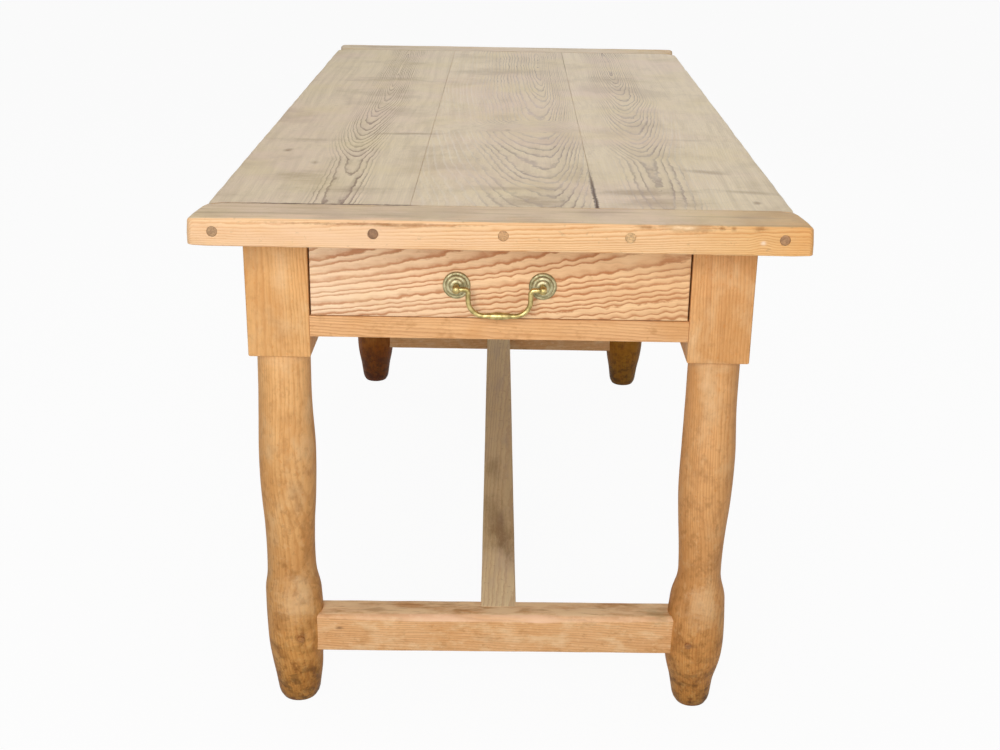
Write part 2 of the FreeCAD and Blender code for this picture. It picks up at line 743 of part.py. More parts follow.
def make_stretcher(end):
    along = ENDS[end]
    body = new_body(f"stretcher_{end}")
    block(body, "Rail", both("stretcher_end_x"), span(along, "stretcher_inner_y", "stretcher_outer_y"),
          ("stretcher_floor_gap", "stretcher_top"))
    soften(body, "EdgeRound", "stretcher_round",
           lambda middle, run: runs(run, "x") and (near(middle.z, "stretcher_floor_gap")
                                                   or near(middle.y * along, "stretcher_inner_y")))
    soften(body, "WearRound", "stretcher_wear_round",
           lambda middle, run: near(middle.z, "stretcher_top")
           and near(middle.y * along, "stretcher_outer_y"))
    slot(body, "LapHousing", LAP_X, span(along, "stretcher_inner_y - cut_overrun", "lap_end_y"),
         ("lap_bottom", "stretcher_top + cut_overrun"))
    for side, across in SIDES.items():
        block(body, f"Tenon{side}", span(across, "stretcher_end_x", "stretcher_tenon_x"),
              span(along, *STRETCHER_TENON_Y), STRETCHER_TENON_Z)
        bore(body, f"PegHole{side}", "y", PEG_HOLE, span(along, *STRETCHER_PEG_Y),
             (mirrored(across, "stretcher_peg_x"), "stretcher_middle_z"))


for end in ENDS:
    make_stretcher(end)

beam = new_body("stretcher_long")
block(beam, "Beam", LAP_X, both("stretcher_inner_y"), ("long_stretcher_bottom", "stretcher_top"))
soften(beam, "EdgeRound", "stretcher_round", lambda middle, run: runs(run, "y"))
for end, along in ENDS.items():
    block(beam, f"Lap{end}", LAP_X, span(along, "stretcher_inner_y", "lap_end_y"),
          ("lap_bottom", "stretcher_top"))

group("stretcher_pegs", [
    rod(plain("Cylinder", "StretcherPeg"), "y", "peg_diameter", span(along, *STRETCHER_PEG_Y),
        (mirrored(across, "stretcher_peg_x"), "stretcher_middle_z"))
    for along in ENDS.values() for across in SIDES.values()])
group("apron_pegs", [
    rod(plain("Cylinder", "ApronPeg"), "x", "peg_diameter", span(across, *APRON_PEG_X),
        (mirrored(along, "apron_peg_y"), height))
    for along in ENDS.values() for across in SIDES.values() for height in apron_peg_heights()])


# Drawers: lapped dovetails at the front, through dovetails at the back, a panel in grooves
def tail_heights(low, high):
    """Heights of each tail's lower root and tip and upper tip and root, from the bottom tail up."""
    pitch = f"(({high}) - ({low})) / {TAIL_COUNT}"
    for number in range(TAIL_COUNT):
        middle = f"({low}) + {pitch} * ({number} + 1 / 2)"
        yield [f"{middle} + {pitch} * {share}"
               for share in (-TAIL_ROOT_SHARE, -TAIL_TIP_SHARE, TAIL_TIP_SHARE, TAIL_ROOT_SHARE)]


FRONT_TAILS = ("drawer_front_inner_y", "drawer_tail_y", "rail_top", "drawer_side_top")
BACK_TAILS = ("drawer_back_y", "drawer_end_y", "panel_top", "drawer_side_top")


def tail_points(along, root, tip, low, high):
    """The four corners of each tail, upwards."""
    for heights in tail_heights(low, high):
        yield [(mirrored(along, place), height) for place, height in zip((root, tip, tip, root), heights)]


def cut_tails(body, along, tails, name):
    """Cut the tails' sockets into both ends of a drawer's front or back."""
    for high_x in ("drawer_half_width", "-(drawer_inner_x)"):
        sketch = attach(body, f"{name}Outline", "YZ_Plane", ("0", "0", high_x))
        for corners in tail_points(along, *tails):
            trace(sketch, corners)
        pocket = body.newObject("PartDesign::Pocket", name)
        pocket.Profile = sketch
        bind(pocket, "Length", "drawer_side_thickness")


def make_drawer_front(end):
    along = ENDS[end]
    body = new_body(f"drawer_{end}_front")
    block(body, "Board", both("drawer_half_width"), span(along, "drawer_front_inner_y", "leg_outer_y"),
          ("rail_top + drawer_floor_gap", "top_underside - drawer_top_gap"))
    soften(body, "FaceRound", "drawer_front_round",
           lambda middle, run: near(middle.y * along, "leg_outer_y"))
    cut_tails(body, along, FRONT_TAILS, "Sockets")
    slot(body, "PanelGroove", both("panel_side_x"),
         span(along, "drawer_front_inner_y - cut_overrun", "panel_front_y + tenon_end_gap"),
         ("panel_bottom", "panel_top"))
    for side, across in SIDES.items():
        bore(body, f"PostHole{side}", "y", "post_shank_diameter + round_fit_gap * 2",
             span(along, "drawer_front_inner_y - cut_overrun", "leg_outer_y + cut_overrun"),
             (mirrored(across, "pull_x"), "pull_z"))


def make_drawer_side(end, side):
    along, across = ENDS[end], SIDES[side]
    body = new_body(f"drawer_{end}_side_{side}")
    front = [corner for corners in tail_points(along, *FRONT_TAILS) for corner in corners]
    back = [corner for corners in tail_points(along, *BACK_TAILS) for corner in corners]
    outline = [(mirrored(along, "drawer_front_inner_y"), "rail_top")] + front
    outline += [(mirrored(along, "drawer_front_inner_y"), "drawer_side_top")]
    outline += [(mirrored(along, "drawer_back_y"), "drawer_side_top")] + back[::-1]
    outline += [(mirrored(along, "drawer_back_y"), "panel_top")]
    outline += [(mirrored(along, "drawer_end_y"), height) for height in ("panel_top", "rail_top")]
    low_x = span(across, "drawer_inner_x", "drawer_half_width")[0]
    sketch = attach(body, "Outline", "YZ_Plane", ("0", "0", low_x))
    trace(sketch, outline)
    pad = body.newObject("PartDesign::Pad", "Board")
    pad.Profile = sketch
    bind(pad, "Length", "drawer_side_thickness")
    slot(body, "PanelGroove", span(across, "drawer_inner_x - cut_overrun", "panel_side_x"),
         span(along, "drawer_end_y - cut_overrun", "panel_front_y + tenon_end_gap"),
         ("panel_bottom", "panel_top"))


def nail_points(along):
    return [(f"drawer_inner_x * {share}", mirrored(along, "drawer_back_middle_y")) for share in NAIL_SHARES]


def make_drawer_back(end):
    along = ENDS[end]
    body = new_body(f"drawer_{end}_back")
    block(body, "Board", both("drawer_half_width"), span(along, "drawer_end_y", "drawer_back_y"),
          ("panel_top", "drawer_side_top"))
    cut_tails(body, along, BACK_TAILS, "Sockets")
    panel = new_body(f"drawer_{end}_bottom")
    block(panel, "Panel", both("panel_side_x"), span(along, "drawer_end_y", "panel_front_y"),
          ("panel_bottom", "panel_top"))
    nails = []
    for point in nail_points(along):
        for carrier in (body, panel):
            bore(carrier, "NailHole", "z", "nail_diameter + round_fit_gap * 2",
                 ("panel_bottom - cut_overrun", "panel_bottom + nail_length + tenon_end_gap"), point)
        shank = rod(plain("Cylinder", "NailShank"), "z", "nail_diameter",
                    ("panel_bottom", "panel_bottom + nail_length"), point)
        head = rod(plain("Cylinder", "NailHead"), "z", "nail_head_diameter",
                   ("panel_bottom - nail_head_height", "panel_bottom"), point)
        nails.append(join("Fuse", shank, head))
    group(f"drawer_{end}_nails", nails)


# Bail pull: ringed rosettes, ball-headed posts with nuts inside the drawer, and the bail between the posts
def outward(along, reach):
    return mirrored(along, f"leg_outer_y + {reach}")


def rosette_profile(along):
    """Half of a ringed dome, from the bore at the drawer front out to the rim and back up ring by ring."""
    bore_radius = "(post_shank_diameter / 2 + round_fit_gap)"
    rim = "(rosette_diameter / 2)"
    dome = "(rosette_height - rosette_rim_height)"
    steps = [(bore_radius, outward(along, "0")), (rim, outward(along, "0")),
             (rim, outward(along, "rosette_rim_height"))]
    last = (rim, "rosette_rim_height")
    rings = list(zip(RING_RADIUS_SHARES, RING_HEIGHT_SHARES)) + [(None, 1)]
    for radius_share, height_share in rings:
        radius = f"({rim} * {radius_share})" if radius_share else "(post_neck_diameter / 2)"
        height = f"(rosette_rim_height + {dome} * {height_share})"
        chord = f"sqrt(({last[0]} - {radius})^2 + ({last[1]} - {height})^2)"
        steps.append((radius, outward(along, height), f"{chord} * {RING_CURVE_SHARE}", along))
        last = (radius, height)
    steps.append((bore_radius, outward(along, "rosette_height")))
    return steps


def post_profile(along):
    """Half of a post: a shank through rosette and drawer front, a neck on the rosette and a ball head."""
    shank, neck, ball = "(post_shank_diameter / 2)", "(post_neck_diameter / 2)", "(post_ball_diameter / 2)"
    inner = mirrored(along, "nut_inner_y - post_thread_end")
    return [("0", inner), (shank, inner), (shank, outward(along, "rosette_height")),
            (neck, outward(along, "rosette_height")),
            (neck, outward(along, f"post_reach - sqrt({ball}^2 - {neck}^2)")),
            ("0", outward(along, f"post_reach + {ball}"), ball, along)]


def make_pull(end):
    along = ENDS[end]
    nuts = []
    for side, across in SIDES.items():
        offset = (mirrored(across, "pull_x"), "0", "pull_z")
        rosette = new_body(f"pull_{end}_rosette_{side}")
        sketch = attach(rosette, "RingProfile", "XY_Plane", offset)
        trace(sketch, rosette_profile(along))
        turned(rosette, "Rings", sketch, "V_Axis")
        post = new_body(f"pull_{end}_post_{side}")
        sketch = attach(post, "PostProfile", "XY_Plane", offset)
        trace(sketch, post_profile(along))
        turned(post, "Post", sketch, "V_Axis")
        bore(post, "PinHole", "x", "bail_wire_diameter + bail_hinge_gap * 2",
             about(mirrored(across, "pull_x"), "post_ball_diameter + cut_overrun * 2"),
             (mirrored(along, "bail_y"), "pull_z"))
        nut = plain_box(f"Nut{end}", about(mirrored(across, "pull_x"), "nut_width"),
                        span(along, "nut_inner_y", "drawer_front_inner_y"), about("pull_z", "nut_width"))
        hole = rod(plain("Cylinder", "NutHole"), "y", "post_shank_diameter + round_fit_gap * 2",
                   span(along, "nut_inner_y", "drawer_front_inner_y"),
                   (mirrored(across, "pull_x"), "pull_z"))
        nuts.append(join("Cut", nut, hole))
    group(f"pull_{end}_nuts", nuts)
    make_bail(end)


def make_bail(end):
    along = ENDS[end]
    body = new_body(f"pull_{end}_bail")
    pin_end = "(pull_x + bail_pin_end)"
    leg = "(bail_width / 2)"
    path = attach(body, "Path", "XZ_Plane", ("0", "pull_z", mirrored(-along, "bail_y")))
    half = [(pin_end, "0"), (f"{leg} + bail_bend_radius", "0"),
            (leg, "-bail_bend_radius", "bail_bend_radius", 1),
            (leg, "bail_corner_radius - bail_drop"),
            (f"{leg} - bail_corner_radius", "-bail_drop", "bail_corner_radius", -1)]
    other = [(f"-({half[4][0]})", "-bail_drop"),
             (f"-{leg}", half[3][1], "bail_corner_radius", -1),
             (f"-{leg}", half[2][1]),
             (f"-({half[1][0]})", "0", "bail_bend_radius", 1),
             (f"-{pin_end}", "0")]
    trace(path, half + other, closed=False)
    section = attach(body, "Section", "YZ_Plane", (mirrored(along, "bail_y"), "pull_z", pin_end))
    radius = "bail_wire_diameter / 2"
    section.addGeometry(Part.Circle(FreeCAD.Vector(), FreeCAD.Vector(0, 0, 1), value(radius)))
    section.addConstraint(Sketcher.Constraint("Coincident", 0, 3, -1, 1))
    rule = section.addConstraint(Sketcher.Constraint("Radius", 0, value(radius)))
    bind(section, f"Constraints[{rule}]", radius)
    wire = body.newObject("PartDesign::AdditivePipe", "Wire")
    wire.Profile = section
    wire.Spine = path
    swell = attach(body, "SwellProfile", "XZ_Plane",
                   ("0", "pull_z - bail_drop", mirrored(-along, "bail_y")))
    tip = "(bail_swell_length / 2)"
    radius = "(bail_swell_diameter / 2)"
    curve = f"({tip}^2 + {radius}^2) / (2 * {radius})"
    trace(swell, [(f"-{tip}", "0", curve, 1), (tip, "0"), ("0", radius, curve, 1)])
    turned(body, "Swell", swell, "H_Axis")


for end in ENDS:
    make_drawer_front(end)
    for side in SIDES:
        make_drawer_side(end, side)
    make_drawer_back(end)
    make_pull(end)

doc.recompute()
failed = [item.Name for item in doc.Objects if {"Invalid", "Error"} & set(item.State)]
failed += [item.Label for item in subparts if item.Shape.isNull() or not item.Shape.isValid()]
if failed:
    raise RuntimeError(f"these did not build: {failed}")
os.makedirs("parts", exist_ok=True)
for item in subparts:
    item.Shape.exportStep(f"parts/{item.Label}.step")
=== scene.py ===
"""Looks of the kitchen table: old pine, greyed on top and honey coloured below, with aged brass pulls."""
import math
from collections import namedtuple
from functools import cached_property

import bpy
from mathutils import Matrix, Vector, noise


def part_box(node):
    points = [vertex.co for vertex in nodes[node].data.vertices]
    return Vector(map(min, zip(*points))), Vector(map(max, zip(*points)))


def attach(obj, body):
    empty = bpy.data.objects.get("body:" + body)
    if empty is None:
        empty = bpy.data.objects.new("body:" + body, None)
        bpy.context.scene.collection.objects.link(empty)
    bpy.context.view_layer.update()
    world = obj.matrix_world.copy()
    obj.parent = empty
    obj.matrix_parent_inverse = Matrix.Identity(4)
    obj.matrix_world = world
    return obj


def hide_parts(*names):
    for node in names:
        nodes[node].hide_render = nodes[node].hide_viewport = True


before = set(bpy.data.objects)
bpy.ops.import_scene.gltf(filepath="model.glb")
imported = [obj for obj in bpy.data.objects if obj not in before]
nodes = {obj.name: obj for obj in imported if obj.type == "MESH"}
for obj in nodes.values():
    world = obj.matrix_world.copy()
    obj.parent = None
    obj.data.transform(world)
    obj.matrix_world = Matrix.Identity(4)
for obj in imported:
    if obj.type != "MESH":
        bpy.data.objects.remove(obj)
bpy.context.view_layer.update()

MM = 0.001
TURN = 2 * math.pi
AXES = "XYZ"
ENDS = {"front": -1, "back": 1}
SIDES = {"left": -1, "right": 1}
BOARDS = {"left": -1, "middle": 0, "right": 1}

# Places of the frame that the pieces below are set out from
TOP_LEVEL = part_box("top_board_middle")[1].z
LEFT_SEAM, RIGHT_SEAM = (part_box("top_board_middle")[side].x for side in (0, 1))
END_SEAM = -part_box("breadboard_front")[1].y
TABLE_END = -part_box("breadboard_front")[0].y
BOARD_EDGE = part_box("top_board_right")[1].x
DRAWER_FACE = -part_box("drawer_front_front")[0].y
DRAWER_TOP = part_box("drawer_front_front")[1].z


def linear(red, green, blue):
    """A display colour from 0 to 255 as the linear colour that a shader takes."""
    shares = (red / 255, green / 255, blue / 255)
    return tuple(c / 12.92 if c <= 0.04045 else ((c + 0.055) / 1.055) ** 2.4 for c in shares) + (1.0,)


def graded(*stops):
    """Stops of a place and a display colour, for a ramp."""
    return [(place, linear(*colour)) for place, *colour in stops]


class Graph:
    """The nodes of a material or a world, with short calls for the node types used here."""

    def __init__(self, owner):
        self.owner = owner
        owner.use_nodes = True
        self.tree = owner.node_tree
        self.tree.nodes.clear()

    @cached_property
    def place(self):
        """Places on the piece itself, so that a look stays on it when it moves."""
        return self.node("ShaderNodeTexCoord", {}).outputs["Object"]

    def node(self, kind, inputs, **settings):
        node = self.tree.nodes.new(kind)
        for name, setting in settings.items():
            setattr(node, name, setting)
        for name, value in inputs.items():
            if isinstance(value, bpy.types.NodeSocket):
                self.tree.links.new(value, node.inputs[name])
            else:
                node.inputs[name].default_value = value
        return node

    def math(self, operation, *values):
        return self.node("ShaderNodeMath", dict(enumerate(values)), operation=operation).outputs[0]

    def vector(self, operation, *values):
        return self.node("ShaderNodeVectorMath", dict(enumerate(values)), operation=operation).outputs[0]

    def length(self, vector):
        return self.node("ShaderNodeVectorMath", {0: vector}, operation="LENGTH").outputs["Value"]

    def split(self, vector):
        return self.node("ShaderNodeSeparateXYZ", {0: vector}).outputs

    def join(self, x, y, z):
        return self.node("ShaderNodeCombineXYZ", {0: x, 1: y, 2: z}).outputs[0]

    def upward(self):
        """How far the surface looks up, from minus one to one."""
        return self.split(self.node("ShaderNodeNewGeometry", {}).outputs["Normal"])[2]

    def noise(self, vector, scale, detail=2.0, roughness=0.5, output=0):
        """Noise on a vector that is first stretched by one scale for all axes or one for each."""
        if isinstance(scale, tuple):
            vector = self.vector("MULTIPLY", vector, scale)
            scale = 1.0
        inputs = {"Vector": vector, "Scale": scale, "Detail": detail, "Roughness": roughness}
        return self.node("ShaderNodeTexNoise", inputs).outputs[output]

    def ease(self, value, low, high, to_low=0.0, to_high=1.0):
        """Map a value smoothly from one range to another."""
        inputs = {"Value": value, "From Min": low, "From Max": high, "To Min": to_low, "To Max": to_high}
        return self.node("ShaderNodeMapRange", inputs, interpolation_type="SMOOTHSTEP").outputs[0]

    def ramp(self, value, stops):
        node = self.node("ShaderNodeValToRGB", {"Fac": value})
        elements = node.color_ramp.elements
        while len(elements) < len(stops):
            elements.new(1.0)
        for element, (position, colour) in zip(elements, stops):
            element.position = position
            element.color = colour if isinstance(colour, tuple) else (colour, colour, colour, 1.0)
        return node.outputs[0]

    def ramp_along(self, value, stops):
        """A ramp whose stops are at places in metres instead of shares."""
        low, high = stops[0][0], stops[-1][0]
        share = self.math("DIVIDE", self.math("SUBTRACT", value, low), high - low)
        return self.ramp(share, [((place - low) / (high - low), colour) for place, colour in stops])

    def blend(self, factor, first, second, kind="MIX"):
        inputs = {"Factor": factor, 6: first, 7: second}
        return self.node("ShaderNodeMix", inputs, data_type="RGBA", blend_type=kind).outputs[2]

    def finish(self, colour, rough, height, **fixed):
        """Close the material with a shader, a bump from the height in metres, and fixed socket values."""
        bump = self.node("ShaderNodeBump", {"Height": height, "Strength": 1.0, "Distance": 1.0})
        inputs = {"Base Color": colour, "Roughness": rough, "Normal": bump.outputs[0], **fixed}
        shader = self.node("ShaderNodeBsdfPrincipled", inputs)
        self.node("ShaderNodeOutputMaterial", {"Surface": shader.outputs[0]})
        return self.owner


# Pine: rings about the heart of a log, cut by the faces of each piece
SOFT_RING = [(0.0, 0.0), (0.3, 0.1), (0.56, 0.4), (0.76, 1.0), (0.88, 1.0), (1.0, 0.0)]
THIN_RING = [(0.0, 0.0), (0.42, 0.05), (0.64, 0.3), (0.76, 1.0), (0.88, 1.0), (0.97, 0.0)]
Log = namedtuple("Log", "along heart ring taper sway curl knots dive skew stops",
                 defaults=(0.0, 16 * MM, None, (), (), 0.0, SOFT_RING))
Curl = namedtuple("Curl", "height wave slant wander swell")
Knot = namedtuple("Knot", "place size push")
Finish = namedtuple("Finish", "early late contrast zone rough wrap", defaults=(1.0, None, 0.55, 0.94))
Surface = namedtuple("Surface", "colour rough height")
Grain = namedtuple("Grain", "place band aside fibre streak")

SWAY_ACROSS = 0.16
SWAY_ALONG = 0.55
WANDER_SCALE = (9.0, 6.0, 9.0)
CALM_SCALE = (12.0, 7.0, 12.0)
CALM_RANGE = (0.38, 0.62)
CALM_SHARE = 0.35
STRAY_ACROSS = 14.0
STRAY_WAVES = 0.45
STRAY_HEIGHT = 3.0
LEAST_SWELL = 0.4


def log_space(g, log):
    """Places seen from the heart of the log, as across, along and deep, bent by sway and rippled by curl."""
    parts = g.split(g.place)
    across, deep = [axis for axis in AXES if axis != log.along]
    depth = g.math("SUBTRACT", parts[deep], log.heart[1])
    if log.dive:
        depth = g.math("ADD", depth, g.ramp_along(parts[log.along], log.dive))
    aside = g.math("SUBTRACT", parts[across], log.heart[0])
    aside = g.math("MULTIPLY_ADD", g.math("ABSOLUTE", aside), log.skew, aside)
    place = g.join(aside, parts[log.along], depth)
    bend = g.noise(place, (1 / SWAY_ACROSS, 1 / SWAY_ALONG, 1 / SWAY_ACROSS), output=1)
    bend = g.vector("SUBTRACT", bend, (0.5, 0.5, 0.5))
    place = g.vector("ADD", place, g.vector("MULTIPLY", bend, (log.sway * 2, 0.0, log.sway * 2)))
    if log.curl:
        place = curled(g, place, log.curl)
    return place


def curled(g, place, curl):
    """Places rippled in depth by uneven waves that come and go along the grain."""
    bits = g.split(place)
    turn = g.math("DIVIDE", g.math("MULTIPLY_ADD", bits[2], curl.slant, bits[1]), curl.wave)
    turn = g.math("MULTIPLY_ADD", g.noise(place, WANDER_SCALE), curl.wander, turn)
    wave = g.math("SINE", g.math("MULTIPLY", turn, TURN))
    calm = g.ease(g.noise(place, CALM_SCALE), *CALM_RANGE, CALM_SHARE, 1.0)
    stray = g.noise(place, (STRAY_ACROSS, STRAY_WAVES / curl.wave, STRAY_ACROSS), detail=3.0, roughness=0.55)
    stray = g.math("SUBTRACT", stray, 0.5)
    ripple = g.math("MULTIPLY_ADD", stray, STRAY_HEIGHT, g.math("MULTIPLY", wave, calm))
    height = g.ease(bits[1], -curl.swell, curl.swell, LEAST_SWELL * curl.height, curl.height)
    return g.vector("ADD", place, g.join(0.0, 0.0, g.math("MULTIPLY", ripple, height)))


KNOT_REACH = 2.6
WOBBLE_SCALE = (90.0, 40.0, 90.0)
WOBBLE_RINGS = 0.9
UNEVEN_SCALE = 70.0
UNEVEN_RINGS = 2.4
FIBRE_SCALE = (800.0, 14.0, 800.0)
STREAK_SCALE = (120.0, 2.5, 120.0)


def grain(g, log):
    """Ring bands, fibres and streaks of the log where the surface cuts it."""
    place = log_space(g, log)
    bits = g.split(place)
    radius = g.length(g.join(bits[0], 0.0, bits[2]))
    radius = g.math("MULTIPLY_ADD", bits[1], log.taper, radius)
    for knot in log.knots:
        gap = g.math("DIVIDE", g.length(g.vector("SUBTRACT", g.place, knot.place)), knot.size)
        radius = g.math("ADD", radius, g.ease(gap, 0.0, KNOT_REACH, knot.push, 0.0))
    wobble = g.noise(place, WOBBLE_SCALE, detail=4.0, roughness=0.6)
    uneven = g.noise(g.join(g.math("MULTIPLY", radius, UNEVEN_SCALE), 0.0, 0.0), 1.0)
    phase = g.math("MULTIPLY_ADD", wobble, WOBBLE_RINGS, g.math("DIVIDE", radius, log.ring))
    phase = g.math("FRACT", g.math("MULTIPLY_ADD", uneven, UNEVEN_RINGS, phase))
    fibre = g.noise(place, FIBRE_SCALE, detail=3.0, roughness=0.6)
    streak = g.noise(place, STREAK_SCALE)
    return Grain(place, g.ramp(phase, log.stops), g.math("ABSOLUTE", bits[0]), fibre, streak)


FIGURE_SCALE = (9.0, 4.0, 9.0)
FIGURE_RANGE = (0.36, 0.6)
LEAST_FIGURE = 0.75
LEAST_ZONED = 0.6
ZONE_SCALE = (14.0, 6.0, 14.0)
ZONE_EDGE = (1.2, 2.1)
BEYOND_ZONE = 0.12
GRAIN_RANGE = (0.35, 0.75)
STREAK_SHARE = 0.18
FIBRE_SHARE = 0.22
FIBRE_SHADE = linear(178, 162, 146)


def figured(g, cut, finish):
    """The colour of a cut face: pale early wood, darker late wood, streaks and fibres."""
    least = finish.contrast * (LEAST_ZONED if finish.zone else LEAST_FIGURE)
    strength = g.ease(g.noise(cut.place, FIGURE_SCALE), *FIGURE_RANGE, least, finish.contrast)
    if finish.zone:
        ragged = g.math("MULTIPLY_ADD", g.noise(cut.place, ZONE_SCALE), finish.zone, cut.aside)
        inner, outer = (finish.zone * share for share in ZONE_EDGE)
        strength = g.math("MULTIPLY", strength, g.ease(ragged, inner, outer, 1.0, BEYOND_ZONE))
    band = g.math("MULTIPLY", cut.band, strength)
    colour = g.blend(band, finish.early, finish.late)
    colour = g.blend(g.ease(cut.streak, *GRAIN_RANGE, 0.0, STREAK_SHARE), colour, finish.late)
    fibres = g.ease(cut.fibre, *GRAIN_RANGE, 0.0, FIBRE_SHARE)
    return g.blend(fibres, colour, FIBRE_SHADE, "MULTIPLY"), band


WOOD_SHINE = 0.22
RING_RELIEF = 0.16 * MM
FIBRE_RELIEF = 0.16 * MM
WRAP_SCALE = 40.0
WRAP_RAGGED = 0.3
WRAP_FADE = 0.1
ROUGH_RANGE = (0.2, 1.4)
ROUGHER = 0.12
SMOOTHER = 0.1


def pine(name, log, finish, top=None, layers=()):
    """A pine material: one finish, another on faces that look up if given, and layers of age over it, some
    with painted shade and highlights.
    """
    g = Graph(bpy.data.materials.new(name))
    cut = grain(g, log)
    colour, band = figured(g, cut, finish)
    if top:
        greyed, _ = figured(g, cut, top)
        upward = g.math("MULTIPLY_ADD", g.noise(g.place, WRAP_SCALE, detail=3.0), WRAP_RAGGED, g.upward())
        colour = g.blend(g.ease(upward, top.wrap, top.wrap + WRAP_FADE), colour, greyed)
    rough = g.math("ADD", cut.fibre, band)
    rough = g.ease(rough, *ROUGH_RANGE, finish.rough + ROUGHER, finish.rough - SMOOTHER)
    height = g.math("MULTIPLY_ADD", band, RING_RELIEF, g.math("MULTIPLY", cut.fibre, FIBRE_RELIEF))
    surface = Surface(colour, rough, height)
    for layer in layers:
        surface = layer(g, surface)
    return g.finish(*surface, **{"Specular IOR Level": WOOD_SHINE})


# Colours of wear, stains and dirt, and of painted highlights
DIRT = linear(84, 60, 40)
SMUDGE = linear(138, 114, 86)
ROSE = linear(208, 182, 166)
STRAW = linear(204, 186, 142)
ORANGE = linear(206, 144, 80)
TAN = linear(176, 122, 66)
BROWN = linear(146, 94, 42)
CREAM = linear(240, 206, 160)
PINK = linear(250, 206, 170)
PALE = linear(255, 222, 176)
FLAME = linear(214, 138, 66)
WASHED = linear(233, 194, 157)
KNOT_GLINT = linear(252, 238, 220)
GRIME = linear(104, 74, 40)
LEG_STAIN = linear(112, 70, 40)
BEAM_STAIN = linear(142, 106, 66)
FADED = linear(168, 148, 104)

# Layers of age, some of which also paint shade and highlights
LEVEL_RANGE = (0.85, 0.97)
SPECK_RANGE = (0.6, 0.74)
SPECK_DEPTH = 0.25 * MM
SHADE_SCALE = 25.0
SHADE_RAGGED = 0.09
RUB_AND_HIGHLIGHT_SCALE = (9.0, 40.0, 40.0)
RUB_AND_HIGHLIGHT_FADE_LOW = 0.15
RUB_AND_HIGHLIGHT_FADE_HIGH = 0.08
MARK_SCALE = (18.0, 40.0, 40.0)
MARK_RAGGED = 1.9
MARK_RANGE = (0.8, 1.9)
DIRT_SCALE = 120.0
DIRT_EDGE = (0.2, 0.6)


def clouds(colour, size, amount, low=0.42, high=0.72, stretch=(1.0, 1.0, 1.0), by_height=None, on_top=False):
    """Blotches of another colour, about so large: stretched, by height or only on top, if told."""
    def layer(g, surface):
        scale = tuple(1 / (size * longer) for longer in stretch)
        share = g.ease(g.noise(g.place, scale, detail=4.0, roughness=0.6), low, high, 0.0, amount)
        if by_height:
            share = g.math("MULTIPLY", share, g.ramp_along(g.split(g.place)["Z"], by_height))
        if on_top:
            share = g.math("MULTIPLY", share, g.ease(g.upward(), *LEVEL_RANGE))
        return surface._replace(colour=g.blend(share, surface.colour, colour))
    return layer


def specks(colour, size, amount, stretch=(1.0, 1.0, 1.0)):
    """Small flecks, dents and scuffs with a little depth."""
    def layer(g, surface):
        scale = tuple(1 / (size * longer) for longer in stretch)
        share = g.ease(g.noise(g.place, scale, detail=3.0, roughness=0.7), *SPECK_RANGE, 0.0, amount)
        height = g.math("MULTIPLY_ADD", share, -SPECK_DEPTH, surface.height)
        return surface._replace(colour=g.blend(share, surface.colour, colour), height=height)
    return layer


def shaded(axis, stops):
    """Shade a piece along an axis: stops of a place in metres and a colour to multiply by."""
    def layer(g, surface):
        ragged = g.math("SUBTRACT", g.noise(g.place, SHADE_SCALE, detail=3.0), 0.5)
        ragged = g.math("MULTIPLY", ragged, SHADE_RAGGED)
        shade = g.ramp_along(g.math("ADD", g.split(g.place)[axis], ragged), stops)
        return surface._replace(colour=g.blend(1.0, surface.colour, shade, "MULTIPLY"))
    return layer


def rubbed_and_highlit(colour, slopes, stops):
    """Paler wood on a rubbed upper edge, between two slopes, as much as the stops along X tell: partly wear,
    partly a painted highlight.
    """
    def layer(g, surface):
        upward = g.upward()
        low, high = slopes
        share = g.ease(upward, low - RUB_AND_HIGHLIGHT_FADE_LOW, low)
        share = g.math("MULTIPLY", share, g.ease(upward, high, high + RUB_AND_HIGHLIGHT_FADE_HIGH, 1.0, 0.0))
        patchy = g.ease(g.noise(g.place, RUB_AND_HIGHLIGHT_SCALE, detail=4.0), 0.3, 0.6, 0.4, 1.0)
        amount = g.math("MULTIPLY", patchy, g.ramp_along(g.split(g.place)["X"], stops))
        return surface._replace(colour=g.blend(g.math("MULTIPLY", share, amount), surface.colour, colour))
    return layer


def smudges(marks, colour, scale=MARK_SCALE):
    """Ragged marks at given places: place, length, width and thickness, turn about Z, and strength."""
    def layer(g, surface):
        ragged = g.math("MULTIPLY", g.noise(g.place, scale, detail=5.0, roughness=0.75), MARK_RAGGED)
        for place, sizes, turn, strength in marks:
            inputs = {"Vector": g.place, "Location": place, "Rotation": (0.0, 0.0, turn),
                      "Scale": tuple(size / 2 for size in sizes)}
            reach = g.length(g.node("ShaderNodeMapping", inputs, vector_type="TEXTURE").outputs[0])
            share = g.ease(g.math("ADD", ragged, reach), *MARK_RANGE, strength, 0.0)
            surface = surface._replace(colour=g.blend(share, surface.colour, colour))
        return surface
    return layer


def seam_dirt(across, place, along, stops, reach):
    """Dirt in a seam at a place on one axis, as dark as the stops along another axis tell."""
    def layer(g, surface):
        parts = g.split(g.place)
        gap = g.math("ABSOLUTE", g.math("SUBTRACT", parts[across], place))
        uneven = g.math("SUBTRACT", g.noise(g.place, DIRT_SCALE, detail=3.0), 0.5)
        gap = g.math("MULTIPLY_ADD", uneven, reach, gap)
        near, far = (reach * share for share in DIRT_EDGE)
        share = g.math("MULTIPLY", g.ease(gap, near, far, 1.0, 0.0), g.ramp_along(parts[along], stops))
        return surface._replace(colour=g.blend(share, surface.colour, DIRT))
    return layer


# Worn meshes
ROUND_ANGLES = [math.radians(angle) for angle in (0, 15, 30)]
ROUND_WAVER = 0.35
ROUND_WAVES = 22
FACE_WAVES = 9
LATHE_WAVES = 1.3
LATHE_LENGTH_WAVES = 14
BLOCK_SPACING = 12 * MM
SHARP_ANGLE = math.radians(50)


